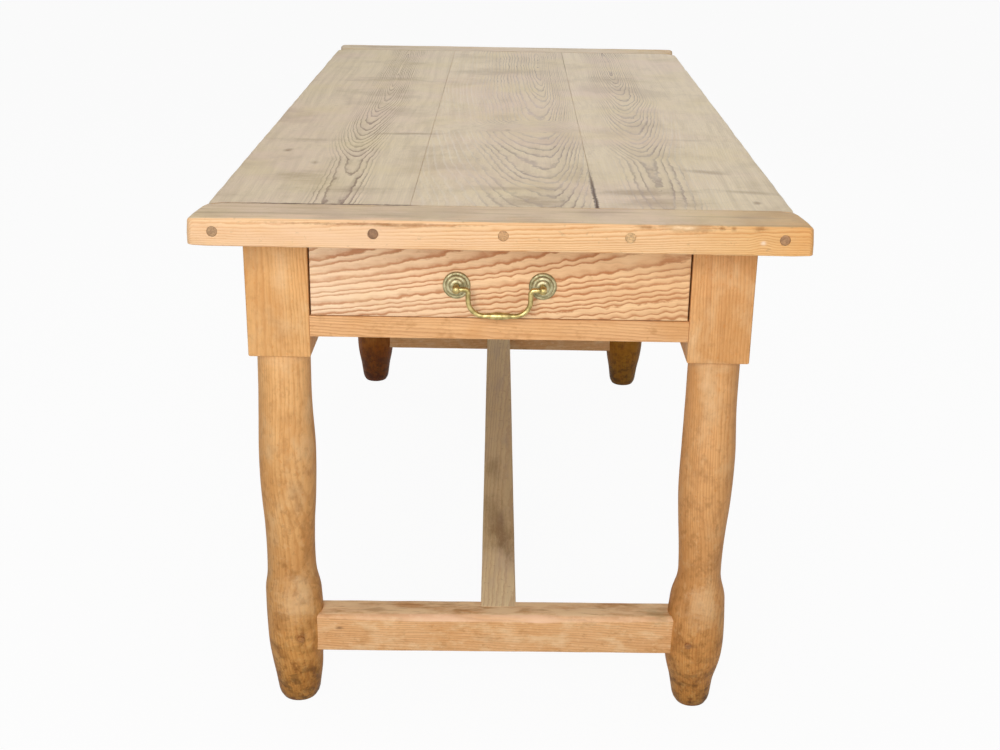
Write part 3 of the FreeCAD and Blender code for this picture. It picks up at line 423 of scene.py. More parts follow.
def grid_lines(low, high, low_rounds, high_rounds, spacing):
    """Places of grid lines along one side of a board: close together on the rounds, even between them."""
    lines = {low, high}
    for rounds, edge, inward in ((low_rounds, low, 1), (high_rounds, high, -1)):
        for radius in rounds:
            lines.update(edge + inward * radius * (1 - math.tan(angle)) for angle in ROUND_ANGLES)
    start = low + max(low_rounds)
    run = high - max(high_rounds) - start
    count = max(1, round(run / spacing))
    lines.update(start + run * step / count for step in range(1, count))
    return sorted(lines)


def shell(lines):
    """Points and faces of a box's surface, divided by grid lines along its three axes."""
    corners = {}
    faces = []
    for axis in range(3):
        first, second = (axis + 1) % 3, (axis + 2) % 3
        for side in (0, len(lines[axis]) - 1):
            for i in range(len(lines[first]) - 1):
                for j in range(len(lines[second]) - 1):
                    quad = []
                    for step_i, step_j in ((0, 0), (1, 0), (1, 1), (0, 1)):
                        index = [side, side, side]
                        index[first] = i + step_i
                        index[second] = j + step_j
                        quad.append(corners.setdefault(tuple(index), len(corners)))
                    faces.append(quad if side else quad[::-1])
    points = [Vector(lines[axis][index[axis]] for axis in range(3)) for index in corners]
    return points, faces


def worn(point, low, high, rounds):
    """Move a point of a box's surface onto the rounded box, and tell which way it faces."""
    inner = Vector(min(max(point[i], low[i] + rounds[i]), high[i] - rounds[i]) for i in range(3))
    away = Vector((point[i] - inner[i]) / rounds[i] for i in range(3))
    away.normalize()
    return inner + Vector(away[i] * rounds[i] for i in range(3)), away


def worn_box(low, high, sides, rounds, spacing, waver):
    """A box with rounds that vary along its edges, and faces that dip by a fraction of a millimetre."""
    points, faces = shell([grid_lines(low[i], high[i], *sides[i], spacing) for i in range(3)])
    moved = []
    for point in points:
        uneven = 1 + ROUND_WAVER * noise.noise(point * ROUND_WAVES)
        place, away = worn(point, low, high, rounds(point) * uneven)
        moved.append(place - away * waver * (1 + noise.noise(point * FACE_WAVES)) / 2)
    return moved, faces


def evenly_worn(low, high, radius, waver):
    """A worn box with the same round on all its edges."""
    return worn_box(low, high, [((radius,), (radius,))] * 3, lambda point: Vector((radius,) * 3),
                    BLOCK_SPACING, waver)


def lathe(rings, segments, waver):
    """A closed turned form through rings of height, radius and a shift along X, not quite round."""
    points = []
    for height, radius, aside in rings:
        for step in range(segments):
            turn = TURN * step / segments
            out = Vector((math.cos(turn), math.sin(turn), 0.0))
            spot = out * LATHE_WAVES + Vector((0, 0, height * LATHE_LENGTH_WAVES))
            reach = radius + waver * noise.noise(spot)
            points.append(out * reach + Vector((aside, 0, height)))
    faces = [[ring * segments + step, ring * segments + (step + 1) % segments,
              (ring + 1) * segments + (step + 1) % segments, (ring + 1) * segments + step]
             for ring in range(len(rings) - 1) for step in range(segments)]
    last = (len(rings) - 1) * segments
    return points, faces + [list(range(segments))[::-1], list(range(last, last + segments))]


def joined(*shells):
    """Several sets of points and faces as one."""
    points, faces = [], []
    for more_points, more_faces in shells:
        faces += [[index + len(points) for index in face] for face in more_faces]
        points += more_points
    return points, faces


def new_mesh(name, points, faces):
    mesh = bpy.data.meshes.new(name)
    mesh.from_pydata(points, [], faces)
    mesh.validate()
    return mesh


def cut_holes(mesh, points, faces):
    """The mesh with the given closed forms cut out of it."""
    body, cutter = (bpy.data.objects.new(name, data) for name, data in
                    (("body", mesh), ("cutter", new_mesh("cutter", points, faces))))
    for item in (body, cutter):
        bpy.context.scene.collection.objects.link(item)
    body.modifiers.new("holes", "BOOLEAN").object = cutter
    bpy.context.view_layer.update()
    cut = bpy.data.meshes.new_from_object(body.evaluated_get(bpy.context.evaluated_depsgraph_get()))
    for item in (body, cutter):
        bpy.data.objects.remove(item)
    return cut


def add_piece(name, mesh, replaced, material):
    mesh.shade_smooth()
    mesh.set_sharp_from_angle(angle=SHARP_ANGLE)
    mesh.materials.clear()
    mesh.materials.append(material)
    piece = bpy.data.objects.new(name, mesh)
    bpy.context.scene.collection.objects.link(piece)
    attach(piece, "table")
    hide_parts(replaced)


def dress(name, material):
    slots = nodes[name].data.materials
    slots.clear()
    slots.append(material)


# Finishes
GREY_TOP = Finish(linear(214, 197, 168), linear(106, 76, 42), rough=0.5, wrap=0.6)
GREY_END = Finish(linear(217, 196, 164), linear(166, 135, 99), contrast=0.9, rough=0.5)
GREY_ENDS = {"front": GREY_END,
             "back": GREY_END._replace(early=linear(213, 196, 170), contrast=0.4, wrap=0.4)}
PALE_HONEY = Finish(linear(243, 205, 158), linear(208, 142, 82), contrast=0.75)
HONEY = Finish(linear(238, 188, 134), linear(176, 112, 62), contrast=0.85)
WORN_HONEY = HONEY._replace(contrast=0.5)
LEG_PINES = {"left": Finish(linear(240, 188, 126), linear(200, 134, 70), contrast=0.5),
             "right": Finish(linear(238, 182, 122), linear(192, 122, 64), contrast=0.45)}
DRAWER_PINE = Finish(linear(250, 220, 184), linear(186, 124, 80), contrast=0.9)
GREY_BEAM = Finish(linear(255, 232, 188), linear(222, 184, 138), contrast=0.6, rough=0.65)
RAW = Finish(linear(222, 186, 140), linear(184, 138, 92), contrast=0.7, rough=0.7)
SEAM_REACH = 1.8 * MM
END_SEAM_REACH = 6.5 * MM
# Marks on the table top: place along X and Y, length, width, turn about Z and strength
TOP_SPOTS = ((-0.15, -0.25, 0.22, 0.03, 0.03, 0.7), (-0.3, -0.31, 0.16, 0.05, 0.0, 0.45),
             (-0.22, 0.3, 0.26, 0.08, 0.02, 0.5), (0.0, 0.42, 0.32, 0.12, 0.05, 0.5),
             (0.2, 0.34, 0.12, 0.1, 0.2, 0.45), (0.0, -0.62, 0.2, 0.05, 0.02, 0.45),
             (0.18, -0.63, 0.24, 0.07, 0.06, 0.7), (0.2, -0.69, 0.2, 0.08, 0.0, 0.6),
             (0.04, -0.69, 0.16, 0.09, 0.0, 0.65), (-0.19, -0.64, 0.2, 0.06, 0.0, 0.5),
             (-0.28, -0.56, 0.12, 0.12, 0.4, 0.5), (0.29, -0.5, 0.14, 0.04, -0.5, 0.6),
             (0.33, -0.62, 0.16, 0.03, -0.25, 0.5), (0.29, -0.27, 0.14, 0.02, -0.05, 0.4),
             (-0.32, -0.392, 0.02, 0.035, 0.0, 0.9), (-0.269, -0.473, 0.024, 0.04, 0.2, 0.9),
             (0.007, -0.207, 0.016, 0.035, 0.0, 0.8), (0.332, -0.68, 0.016, 0.03, 0.0, 0.8))
TOP_MARKS = [((x, y, TOP_LEVEL), (length, width, 1.0), turn, strength)
             for x, y, length, width, turn, strength in TOP_SPOTS]
FAINT_SEAM = [(-END_SEAM, 0.15), (-0.4, 0.05), (0.0, 0.08), (0.2, 0.3), (0.4, 0.08), (END_SEAM, 0.1)]
OPEN_SEAM = [(-END_SEAM, 0.4), (-0.5, 0.2), (-0.2, 0.06), (-0.1, 0.3), (0.0, 0.1), (0.3, 0.1), (0.5, 0.5),
             (END_SEAM, 0.4)]
SPLIT_SEAM = [(-END_SEAM, 1.0), (-0.6, 0.9), (-0.53, 0.4), (-0.48, 0.0), (END_SEAM, 0.0)]
FRONT_SEAM = [(-BOARD_EDGE, 0.35), (-0.33, 0.5), (-0.3, 0.9), (-0.12, 0.8), (-0.1, 0.15), (BOARD_EDGE, 0.2)]
BACK_SEAM = [(-BOARD_EDGE, 0.2), (0.1, 0.3), (BOARD_EDGE, 0.3)]
END_SEAMS = (seam_dirt("Y", -END_SEAM, "X", FRONT_SEAM, END_SEAM_REACH),
             seam_dirt("Y", END_SEAM, "X", BACK_SEAM, END_SEAM_REACH))
TOP_CLOUDS = (clouds(ROSE, 0.22, 0.55, on_top=True), clouds(STRAW, 0.15, 0.45, 0.45, 0.7, on_top=True),
              clouds(SMUDGE, 0.12, 0.3, 0.48, 0.7, on_top=True))
TOP_LAYERS = (*TOP_CLOUDS, smudges(TOP_MARKS, SMUDGE),
              seam_dirt("X", LEFT_SEAM, "Y", FAINT_SEAM, SEAM_REACH),
              seam_dirt("X", RIGHT_SEAM, "Y", OPEN_SEAM, SEAM_REACH),
              seam_dirt("X", RIGHT_SEAM, "Y", SPLIT_SEAM, END_SEAM_REACH), *END_SEAMS,
              specks(SMUDGE, 9 * MM, 0.3, (1.6, 1.0, 1.0)))

# Top boards and breadboards
TOP_ROUND = 6 * MM
LOWER_ROUND = 2.5 * MM
SEAM_ROUND = 0.12 * MM
CORNER_ROUND = 9 * MM
SEAM_GAP = 0.02 * MM
BOARD_SPACING = 16 * MM
BOARD_WAVER = 0.5 * MM
BOARD_FLARE = 4 * MM
BOARD_LOGS = {
    "left": Log("Y", (-0.215, TOP_LEVEL), 3.2 * MM, stops=THIN_RING, dive=[
        (-END_SEAM, 0.056), (-0.45, 0.052), (-0.3, 0.037), (0.0, 0.016), (0.25, 0.006), (END_SEAM, 0.004)]),
    "middle": Log("Y", (0.068, TOP_LEVEL), 4.2 * MM, skew=0.35, stops=THIN_RING, dive=[
        (-END_SEAM, 0.126), (-0.22, 0.088), (-0.12, 0.034), (0.1, 0.019), (0.36, 0.008), (0.6, 0.002),
        (END_SEAM, 0.004)]),
    "right": Log("Y", (0.215, TOP_LEVEL), 3.6 * MM, stops=THIN_RING, dive=[
        (-END_SEAM, 0.082), (-0.42, 0.077), (-0.25, 0.06), (0.1, 0.03), (0.4, 0.012), (END_SEAM, 0.006)]),
}
FIGURE_ZONES = {"left": 0.032, "middle": 0.058, "right": 0.04}


def closeness(gap, reach):
    """One within reach of an edge, falling to zero at twice the reach."""
    return min(max(2 - gap / reach, 0.0), 1.0)


def outer_rounds(near_edge, corner, upper):
    """Radii of the rounds near a board's outer edge: larger above than below, and largest at a corner."""
    level = SEAM_ROUND + ((TOP_ROUND if upper else LOWER_ROUND) - SEAM_ROUND) * near_edge
    plan = level + (CORNER_ROUND - level) * corner
    return Vector((plan, plan, level))


def board_form(board):
    """A top board with a worn outer edge, a little wider towards the back."""
    low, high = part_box(f"top_board_{board}")
    edge = BOARDS[board]
    end = END_SEAM - SEAM_GAP
    low = Vector((low.x + (SEAM_GAP if edge >= 0 else 0), -end, low.z))
    high = Vector((high.x - (SEAM_GAP if edge <= 0 else 0), end, high.z))
    middle = (low + high) / 2

    def rounds(point):
        gap = BOARD_EDGE - abs(point.x) if edge and point.x * edge > middle.x * edge else math.inf
        return outer_rounds(closeness(gap, TOP_ROUND), 0.0, point.z > middle.z)

    seam, outer = (SEAM_ROUND,), (TOP_ROUND, LOWER_ROUND)
    sides = [(outer if edge < 0 else seam, outer if edge > 0 else seam), (seam, seam),
             ((LOWER_ROUND, SEAM_ROUND), (TOP_ROUND, SEAM_ROUND))]
    points, faces = worn_box(low, high, sides, rounds, BOARD_SPACING, BOARD_WAVER)
    for point in points:
        across = (point.x - low.x) / (high.x - low.x)
        outward = {-1: across - 1, 0: 0, 1: across}[edge]
        point.x += BOARD_FLARE * outward * (point.y + end) / (2 * end)
    return points, faces


def add_top_board(board):
    mesh = new_mesh(f"board_{board}", *board_form(board))
    top = GREY_TOP._replace(zone=FIGURE_ZONES[board])
    material = pine(f"pine_top_{board}", BOARD_LOGS[board], PALE_HONEY, top, TOP_LAYERS)
    add_piece(f"worn_board_{board}", mesh, f"top_board_{board}", material)


BREADBOARD_WIDTH = {"front": 1.003, "back": 0.991}
FULL_EDGE = 2.2 * MM
FULLER_RIGHT = 0.0025
FULLER_ENDS = 1.003
BREADBOARD_HEART = (0.05, 0.002)
BREADBOARD_SHADES = graded((-0.4, 255, 255, 255), (0.2, 255, 254, 252), (0.3, 250, 242, 220),
                           (0.4, 248, 226, 188))
# A small knot in a breadboard's outer face, with a painted highlight as a white spot on it
KNOT_X = 0.322
KNOT_DEPTH = 0.021
KNOT_GLINT_SIZE = (0.012, 0.02, 0.01)
WASH_X = -0.21
WASH_DEPTH = 0.022
WASH_SIZE = (0.6, 0.06, 0.08)
WASH_SCALE = (9.0, 40.0, 40.0)
# Figure along a breadboard's upper edge: place along X, depth below the top, length, thickness, strength
EDGE_LINES = ((-0.16, 5.0 * MM, 0.4, 5.5 * MM, 0.7), (-0.13, 6.5 * MM, 0.22, 7 * MM, 0.6),
              (0.179, 3.5 * MM, 0.05, 8 * MM, 0.8), (0.232, 4 * MM, 0.11, 18 * MM, 0.8),
              (0.27, 4 * MM, 0.012, 11 * MM, 0.7), (0.285, 4 * MM, 0.012, 11 * MM, 0.7),
              (0.318, 4 * MM, 0.026, 9 * MM, 0.7))
EDGE_LENSES = ((0.226, 4 * MM, 0.06, 9 * MM, 0.8),)
EDGE_REACH = 0.03
EDGE_SCALE = (60.0, 120.0, 120.0)
HOLE_ROOM = 0.15 * MM
HOLE_DEPTH = 14 * MM
PLUG_SEGMENTS = 40
PLUG_SINK = (0.6 * MM, 1.3 * MM, 0.7 * MM, 0.4 * MM, 1.1 * MM)
PLUG_ROUND = 0.7 * MM
PLUG_CURVE = ((1.0, 0.0), (0.2, 0.4), (0.0, 1.3))
PLUG_WAVER = 0.25 * MM
PLUG_GAP = 20 * MM


def groups_along(name, axis, gap):
    """Lowest and highest place along an axis of each group of a node's points, parted by gaps."""
    places = sorted(vertex.co[axis] for vertex in nodes[name].data.vertices)
    groups = [[places[0], places[0]]]
    for place in places:
        if place - groups[-1][1] > gap:
            groups.append([place, place])
        groups[-1][1] = place
    return groups


def lying(points, faces, x, y, z, along):
    """A form turned about Z, laid along Y with its top end outward, at a place."""
    turned = [Vector((point.x * along, point.z * along, point.y)) for point in points]
    return [point + Vector((x, y, z)) for point in turned], [face[::-1] for face in faces]


def plugs_and_holes(dowels, outer, along):
    """Forms of the dowels with sunk, rounded ends, and of the holes that they show in."""
    low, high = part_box(dowels)
    inner_end = min(abs(low.y), abs(high.y)) - abs(outer)
    level = (low.z + high.z) / 2
    plugs, holes = [], []
    for (left, right), sink in zip(groups_along(dowels, 0, PLUG_GAP), PLUG_SINK):
        x, radius = (left + right) / 2, (right - left) / 2
        hole = [(height, radius + HOLE_ROOM, 0.0) for height in (-HOLE_DEPTH, HOLE_DEPTH)]
        plug = [(inner_end, radius, 0.0)]
        plug += [(-sink - PLUG_ROUND * back, radius - PLUG_ROUND * inward, 0.0)
                 for back, inward in PLUG_CURVE]
        for rings, forms in ((plug, plugs), (hole, holes)):
            forms.append(lying(*lathe(rings, PLUG_SEGMENTS, PLUG_WAVER), x, outer, level, along))
    return joined(*plugs), joined(*holes)


def on_edge(outer, marks):
    """Marks on the upper edge of a breadboard's outer face, for smudges."""
    return [((x, outer, TOP_LEVEL - deep), (length, EDGE_REACH, thick), 0.0, strength)
            for x, deep, length, thick, strength in marks]


def breadboard_form(end, outer):
    """A breadboard with worn edges, wider at its outer face and fuller below."""
    low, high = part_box(f"breadboard_{end}")
    middle = (low + high) / 2

    def rounds(point):
        near_face = closeness(abs(point.y - outer), CORNER_ROUND)
        near_end = closeness(high.x - abs(point.x), CORNER_ROUND)
        return outer_rounds(max(near_face, near_end), near_face * near_end, point.z > middle.z)

    seam, face = (SEAM_ROUND,), (CORNER_ROUND, TOP_ROUND, LOWER_ROUND)
    sides = [(face, face), (face, seam) if outer < 0 else (seam, face),
             ((LOWER_ROUND, SEAM_ROUND), (TOP_ROUND, SEAM_ROUND))]
    points, faces = worn_box(low, high, sides, rounds, BOARD_SPACING, BOARD_WAVER)
    for point in points:
        inward = abs(outer - point.y) / (high.y - low.y)
        point.x *= BREADBOARD_WIDTH[end] * (1 - (1 - BOARD_EDGE / high.x) * inward)
        if point.z < middle.z:
            point.z -= FULL_EDGE + FULLER_RIGHT * point.x
            point.x *= FULLER_ENDS
    return points, faces


def breadboard_pine(end, outer):
    """The pine of a breadboard, with a small knot that carries a painted highlight, and a washed part in its
    outer face.
    """
    back, above = BREADBOARD_HEART
    knot = (KNOT_X, outer, TOP_LEVEL - KNOT_DEPTH)
    log = Log("X", (outer - ENDS[end] * back, TOP_LEVEL + above), 1.5 * MM, taper=0.008, sway=5 * MM,
              knots=(Knot(knot, size=8 * MM, push=1.6 * MM),))
    wash = ((WASH_X, outer, TOP_LEVEL - WASH_DEPTH), WASH_SIZE, 0.0, 0.8)
    layers = (*TOP_CLOUDS, smudges([wash], WASHED, WASH_SCALE),
              clouds(ORANGE, 0.1, 0.3, 0.5, 0.75, (2.0, 1.0, 0.3)), *END_SEAMS,
              shaded("X", BREADBOARD_SHADES),
              clouds(SMUDGE, 0.012, 0.45, 0.5, 0.7, (14.0, 1.0, 1.0), on_top=True),
              smudges(on_edge(outer, EDGE_LINES), BROWN, EDGE_SCALE),
              smudges(on_edge(outer, EDGE_LENSES), PALE, EDGE_SCALE),
              smudges([(knot, KNOT_GLINT_SIZE, 0.0, 0.6)], KNOT_GLINT), specks(SMUDGE, 9 * MM, 0.25))
    return pine(f"pine_breadboard_{end}", log, PALE_HONEY, GREY_ENDS[end], layers)


def add_breadboard(end):
    along = ENDS[end]
    outer = TABLE_END * along
    dowels = f"breadboard_dowels_{end}"
    plugs, holes = plugs_and_holes(dowels, outer, along)
    mesh = cut_holes(new_mesh(f"breadboard_{end}", *breadboard_form(end, outer)), *holes)
    add_piece(f"worn_breadboard_{end}", mesh, f"breadboard_{end}", breadboard_pine(end, outer))
    add_piece(f"worn_dowels_{end}", new_mesh(f"dowels_{end}", *plugs), dowels, plug_wood)


# Legs
LEG_SEGMENTS = 64
LEG_STEP = 6 * MM
LEG_WAVER = 0.5 * MM
BLOCK_ROUND = 2.5 * MM
BLOCK_LAP = 3 * MM
BLOCK_BELOW_APRON = 30 * MM
FEEL_FROM = 0.2
FEEL_INSET = 0.2 * MM
# Hand turning: at each height, in millimetres, how far a leg strays to the right and how much thicker it is
HAND_TURNING = {
    "leg_front_left": ((0, 2.2, 1.2), (44, 2.4, 1.2), (71, 0.5, -1.5), (117, 0.0, -1.0), (168, -0.7, 0.8),
                       (212, -2.4, 2.6), (290, -2.5, 0.4), (345, -2.3, 0.9), (406, -1.3, 1.4),
                       (464, -1.8, 1.1), (549, -0.6, -0.3)),
    "leg_front_right": ((0, 2.0, -1.7), (44, 0.2, -1.4), (68, 0.4, 0.4), (83, 0.4, 1.0), (177, 1.9, 0.2),
                        (212, 2.0, -1.8), (290, 1.0, -1.4), (345, 1.2, -0.8), (406, 2.4, -0.7),
                        (464, 1.0, -0.3), (549, 1.0, -1.2)),
    "leg_back_left": ((0, -6.5, 0.0), (150, -6.0, 0.0), (350, -3.0, 0.0), (549, 0.0, 0.0)),
    "leg_back_right": ((0, -4.5, 0.0), (150, -4.0, 0.0), (350, -2.0, 0.0), (549, 0.0, 0.0)),
}
FRONT_FOOT = graded((0.0, 170, 158, 116), (0.035, 206, 190, 146), (0.1, 230, 217, 184),
                    (0.2, 234, 228, 216))
# Back legs' feet darker towards the floor: partly dirt, partly painted shade of the dark under the table
BACK_FEET_DIRT_AND_SHADE = {
    "left": graded((0.0, 112, 74, 34), (0.1, 164, 124, 42), (0.2, 216, 198, 168)),
    "right": graded((0.0, 152, 142, 76), (0.1, 186, 164, 62), (0.2, 220, 204, 168)),
}
UPPER_SHADES = graded((0.36, 244, 241, 234), (0.53, 255, 255, 255), (0.58, 247, 246, 243))
LEG_HEARTS = {"left": (0.065, 0.04), "right": (0.09, 0.02)}
SHAFT_REACH = 0.036
RING_HEIGHT = 0.543
RING_SIZE = (0.12, 0.12, 0.035)
SHOULDER_ASIDE = 0.004
SHOULDER_HEIGHT = 0.175
SHOULDER_SIZE = (0.08, 0.06, 0.1)
BLOCK_PATCH = ((-0.287, -0.704, 0.665), (0.04, 0.03, 0.12), 0.0, 0.45)
LEG_MARKS = {
    "leg_front_left": [((-0.28, -0.702, 0.115), (0.024, 0.03, 0.024), 0.0, 0.9)],
    "leg_front_right": [((0.284, -0.702, 0.114), (0.03, 0.03, 0.022), 0.0, 0.6)],
}
FOOT_GRIME = [(0.0, 1.0), (0.05, 0.8), (0.1, 0.3), (0.18, 0.1), (0.3, 0.0)]
MOTTLED_BELOW = [(0.0, 1.0), (0.08, 0.7), (0.16, 0.45), (0.3, 0.4), (0.46, 0.2), (0.73, 0.12)]


def turning_at(height, turning):
    """How far a leg strays and how much thicker it is at a height, between the given ones."""
    for below, above in zip(turning, turning[1:]):
        if height <= above[0] * MM or above is turning[-1]:
            share = min((height / MM - below[0]) / (above[0] - below[0]), 1.0)
            return [(below[i] + (above[i] - below[i]) * share) * MM for i in (1, 2)]


def smoothed(values):
    """Each value drawn towards its neighbours, with the ends kept."""
    inner = [(values[i - 1] + 2 * values[i] + values[i + 1]) / 4 for i in range(1, len(values) - 1)]
    return [values[0]] + inner + [values[-1]]


def shaft_rings(name, axis, top, outward):
    """Rings of a leg's shaft: radii felt from outside on the frame's own leg, and strays of hand turning."""
    count = round(top / LEG_STEP)
    heights = [top * step / count for step in range(count + 1)]
    radii, asides = [], []
    for height in heights:
        level = min(max(height, FEEL_INSET), top - FEEL_INSET)
        start = Vector((axis.x + outward * FEEL_FROM, axis.y, level))
        _, place, _, _ = nodes[name].ray_cast(start, Vector((-outward, 0, 0)))
        aside, thicker = turning_at(height, HAND_TURNING[name])
        radii.append(abs(place.x - axis.x) + thicker)
        asides.append(aside)
    return list(zip(heights, smoothed(radii), smoothed(smoothed(asides))))


def worn_spots(axis, along):
    """Pale rubbed places of a leg: the ring under the block and the shoulder above the foot."""
    face = axis.y + along * SHAFT_REACH
    return [((axis.x, axis.y, RING_HEIGHT), RING_SIZE, 0.0, 0.5),
            ((axis.x + SHOULDER_ASIDE, face, SHOULDER_HEIGHT), SHOULDER_SIZE, 0.0, 0.45)]


def leg_form(name, side, low, high):
    """A leg: a worn block over a shaft that was turned by hand."""
    axis = (low + high) / 2
    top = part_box(f"apron_{side}")[0].z - BLOCK_BELOW_APRON
    block = evenly_worn(Vector((low.x, low.y, top)), high, BLOCK_ROUND, BOARD_WAVER)
    rings = shaft_rings(name, axis, top, SIDES[side])
    points, faces = lathe(rings + [(top + BLOCK_LAP, *rings[-1][1:])], LEG_SEGMENTS, LEG_WAVER)
    return joined(block, ([point + Vector((axis.x, axis.y, 0)) for point in points], faces))


def leg_layers(name, end, side, axis):
    """Age of a leg: mottled and grimy towards the foot, rubbed on its ring and shoulder; painted shade on
    back feet.
    """
    foot = FRONT_FOOT if end == "front" else BACK_FEET_DIRT_AND_SHADE[side]
    return (clouds(ORANGE, 0.07, 0.5, 0.4, 0.68, (1.0, 1.0, 2.2)),
            clouds(CREAM, 0.05, 0.5, 0.5, 0.74, (1.0, 1.0, 1.8)),
            clouds(BROWN, 0.022, 0.8, 0.48, 0.68, (1.0, 1.0, 1.5), MOTTLED_BELOW),
            clouds(BROWN, 0.008, 0.8, 0.5, 0.68, (1.0, 1.0, 1.4), MOTTLED_BELOW),
            clouds(CREAM, 0.009, 0.5, 0.54, 0.7, (1.0, 1.0, 1.3), MOTTLED_BELOW),
            specks(FLAME, 5 * MM, 0.5, (1.0, 1.0, 1.6)),
            clouds(GRIME, 0.013, 0.6, 0.48, 0.62, (1.6, 1.6, 0.9), FOOT_GRIME),
            shaded("Z", foot + UPPER_SHADES), smudges(LEG_MARKS.get(name, []), LEG_STAIN),
            smudges(worn_spots(axis, ENDS[end]) + [BLOCK_PATCH], CREAM),
            specks(TAN, 7 * MM, 0.3, (1.0, 1.0, 1.8)))


def add_leg(end, side):
    name = f"leg_{end}_{side}"
    low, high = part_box(name)
    axis = (low + high) / 2
    across, deep = LEG_HEARTS[side]
    log = Log("Z", (axis.x - across, axis.y - ENDS[end] * deep), 3.6 * MM, taper=0.025)
    material = pine(f"pine_{name}", log, LEG_PINES[side], layers=leg_layers(name, end, side, axis))
    mesh = new_mesh(name, *leg_form(name, side, low, high))
    add_piece(f"turned_{name}", mesh, name, material)


# Stretchers
STRETCHER_ROUND = 3 * MM
WEAR_ROUND = 6 * MM
WEAR_MORE = 5 * MM
WEAR_REACH = 0.15
TENON_REACH = 34 * MM
TENON_SIZE = Vector((0, 14, 36)) * MM
TENON_ROUND = 0.5 * MM
STRETCHER_RISE = {"front": 4.5 * MM, "back": 0.0}
STRETCHER_HEART = (0.6, 0.02)
STRETCHER_DENT = ((-0.227, -0.684, 0.123), (0.022, 0.02, 0.009), 0.0, 0.9)
STRETCHER_PATCH = ((0.238, -0.668, 0.144), (0.07, 0.05, 0.03), 0.0, 0.7)
# Pale upper edge of the stretchers: partly wear, partly a painted highlight streak, strongest at the middle
RUB_AND_HIGHLIGHT_STOPS = [(-0.27, 0.2), (-0.2, 0.5), (-0.15, 0.3), (-0.06, 0.9), (0.06, 0.9), (0.1, 0.4), (0.25, 0.3)]
AGE_SPECKS = specks(TAN, 7 * MM, 0.4, (1.8, 1.8, 1.0))
AGE = (clouds(ORANGE, 0.07, 0.4), clouds(TAN, 0.014, 0.45, 0.52, 0.72, (1.6, 1.6, 1.0)), AGE_SPECKS)
WORN_AGE_AND_HIGHLIGHT = AGE + (clouds(CREAM, 0.02, 0.55, 0.48, 0.7, (2.0, 1.0, 1.0)),
                  specks(FLAME, 4 * MM, 0.45, (1.8, 1.0, 1.0)),
                  clouds(CREAM, 0.006, 0.4, 0.54, 0.7, (1.8, 1.0, 1.0)),
                  clouds(PALE, 0.02, 0.9, 0.3, 0.56, (3.0, 1.0, 1.0), on_top=True),
                  clouds(TAN, 0.008, 0.5, 0.5, 0.66, (6.0, 1.0, 1.0), on_top=True),
                  rubbed_and_highlit(PINK, (0.25, 0.9), RUB_AND_HIGHLIGHT_STOPS),
                  smudges([STRETCHER_DENT], DIRT), smudges([STRETCHER_PATCH], FADED))
BEAM_PROUD = 0.3 * MM
BEAM_ASIDE = -1.8 * MM
BEAM_SKEW = -0.01
BEAM_HEART = (0.03, 0.09)
BEAM_MARKS = [((0.0, -0.38, 0.144), (0.07, 0.3, 1.0), 0.2, 0.6),
              ((0.012, -0.46, 0.144), (0.05, 0.2, 1.0), 0.2, 0.6),
              ((-0.01, -0.16, 0.144), (0.05, 0.2, 1.0), 0.1, 0.45)]
BEAM_MARK_SCALE = (70.0, 16.0, 70.0)
BEAM_SHADES = graded((-0.65, 255, 255, 255), (-0.5, 252, 250, 246), (-0.46, 230, 224, 214),
                     (0.0, 243, 238, 230), (0.6, 248, 244, 232))


def tenon_form(start, stop, middle):
    """A tenon between two places along X."""
    corners = [Vector((x, middle.y, middle.z)) + TENON_SIZE * half
               for x, half in ((start, -0.5), (stop, 0.5))]
    return evenly_worn(*corners, TENON_ROUND, 0.0)


def stretcher_form(end):
    """An end stretcher with its tenons, worn on the outer upper edge by feet, and not quite level."""
    along = ENDS[end]
    low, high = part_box(f"stretcher_{end}")
    middle = (low + high) / 2
    low.x += TENON_REACH
    high.x -= TENON_REACH

    def rounds(point):
        worn_edge = point.z > middle.z and (point.y - middle.y) * along > 0
        more = WEAR_MORE * closeness(abs(point.x), WEAR_REACH)
        radius = WEAR_ROUND + more if worn_edge else STRETCHER_ROUND
        return Vector((STRETCHER_ROUND, radius, radius))

    plain, feet = (STRETCHER_ROUND,), (STRETCHER_ROUND, WEAR_ROUND, WEAR_ROUND + WEAR_MORE)
    sides = [(plain, plain), (feet, plain) if along < 0 else (plain, feet), (plain, feet)]
    body = worn_box(low, high, sides, rounds, BLOCK_SPACING, BOARD_WAVER)
    left = tenon_form(low.x - TENON_REACH, low.x, middle)
    right = tenon_form(high.x, high.x + TENON_REACH, middle)
    points, faces = joined(body, left, right)
    for point in points:
        point.z += STRETCHER_RISE[end] * (point.x - low.x) / (high.x - low.x)
    return points, faces


def add_stretcher(end):
    back, level = STRETCHER_HEART
    log = Log("X", (ENDS[end] * back, level), 3.0 * MM, taper=0.02)
    material = pine(f"pine_stretcher_{end}", log, WORN_HONEY, layers=WORN_AGE_AND_HIGHLIGHT)
    mesh = new_mesh(f"stretcher_{end}", *stretcher_form(end))
    add_piece(f"worn_stretcher_{end}", mesh, f"stretcher_{end}", material)


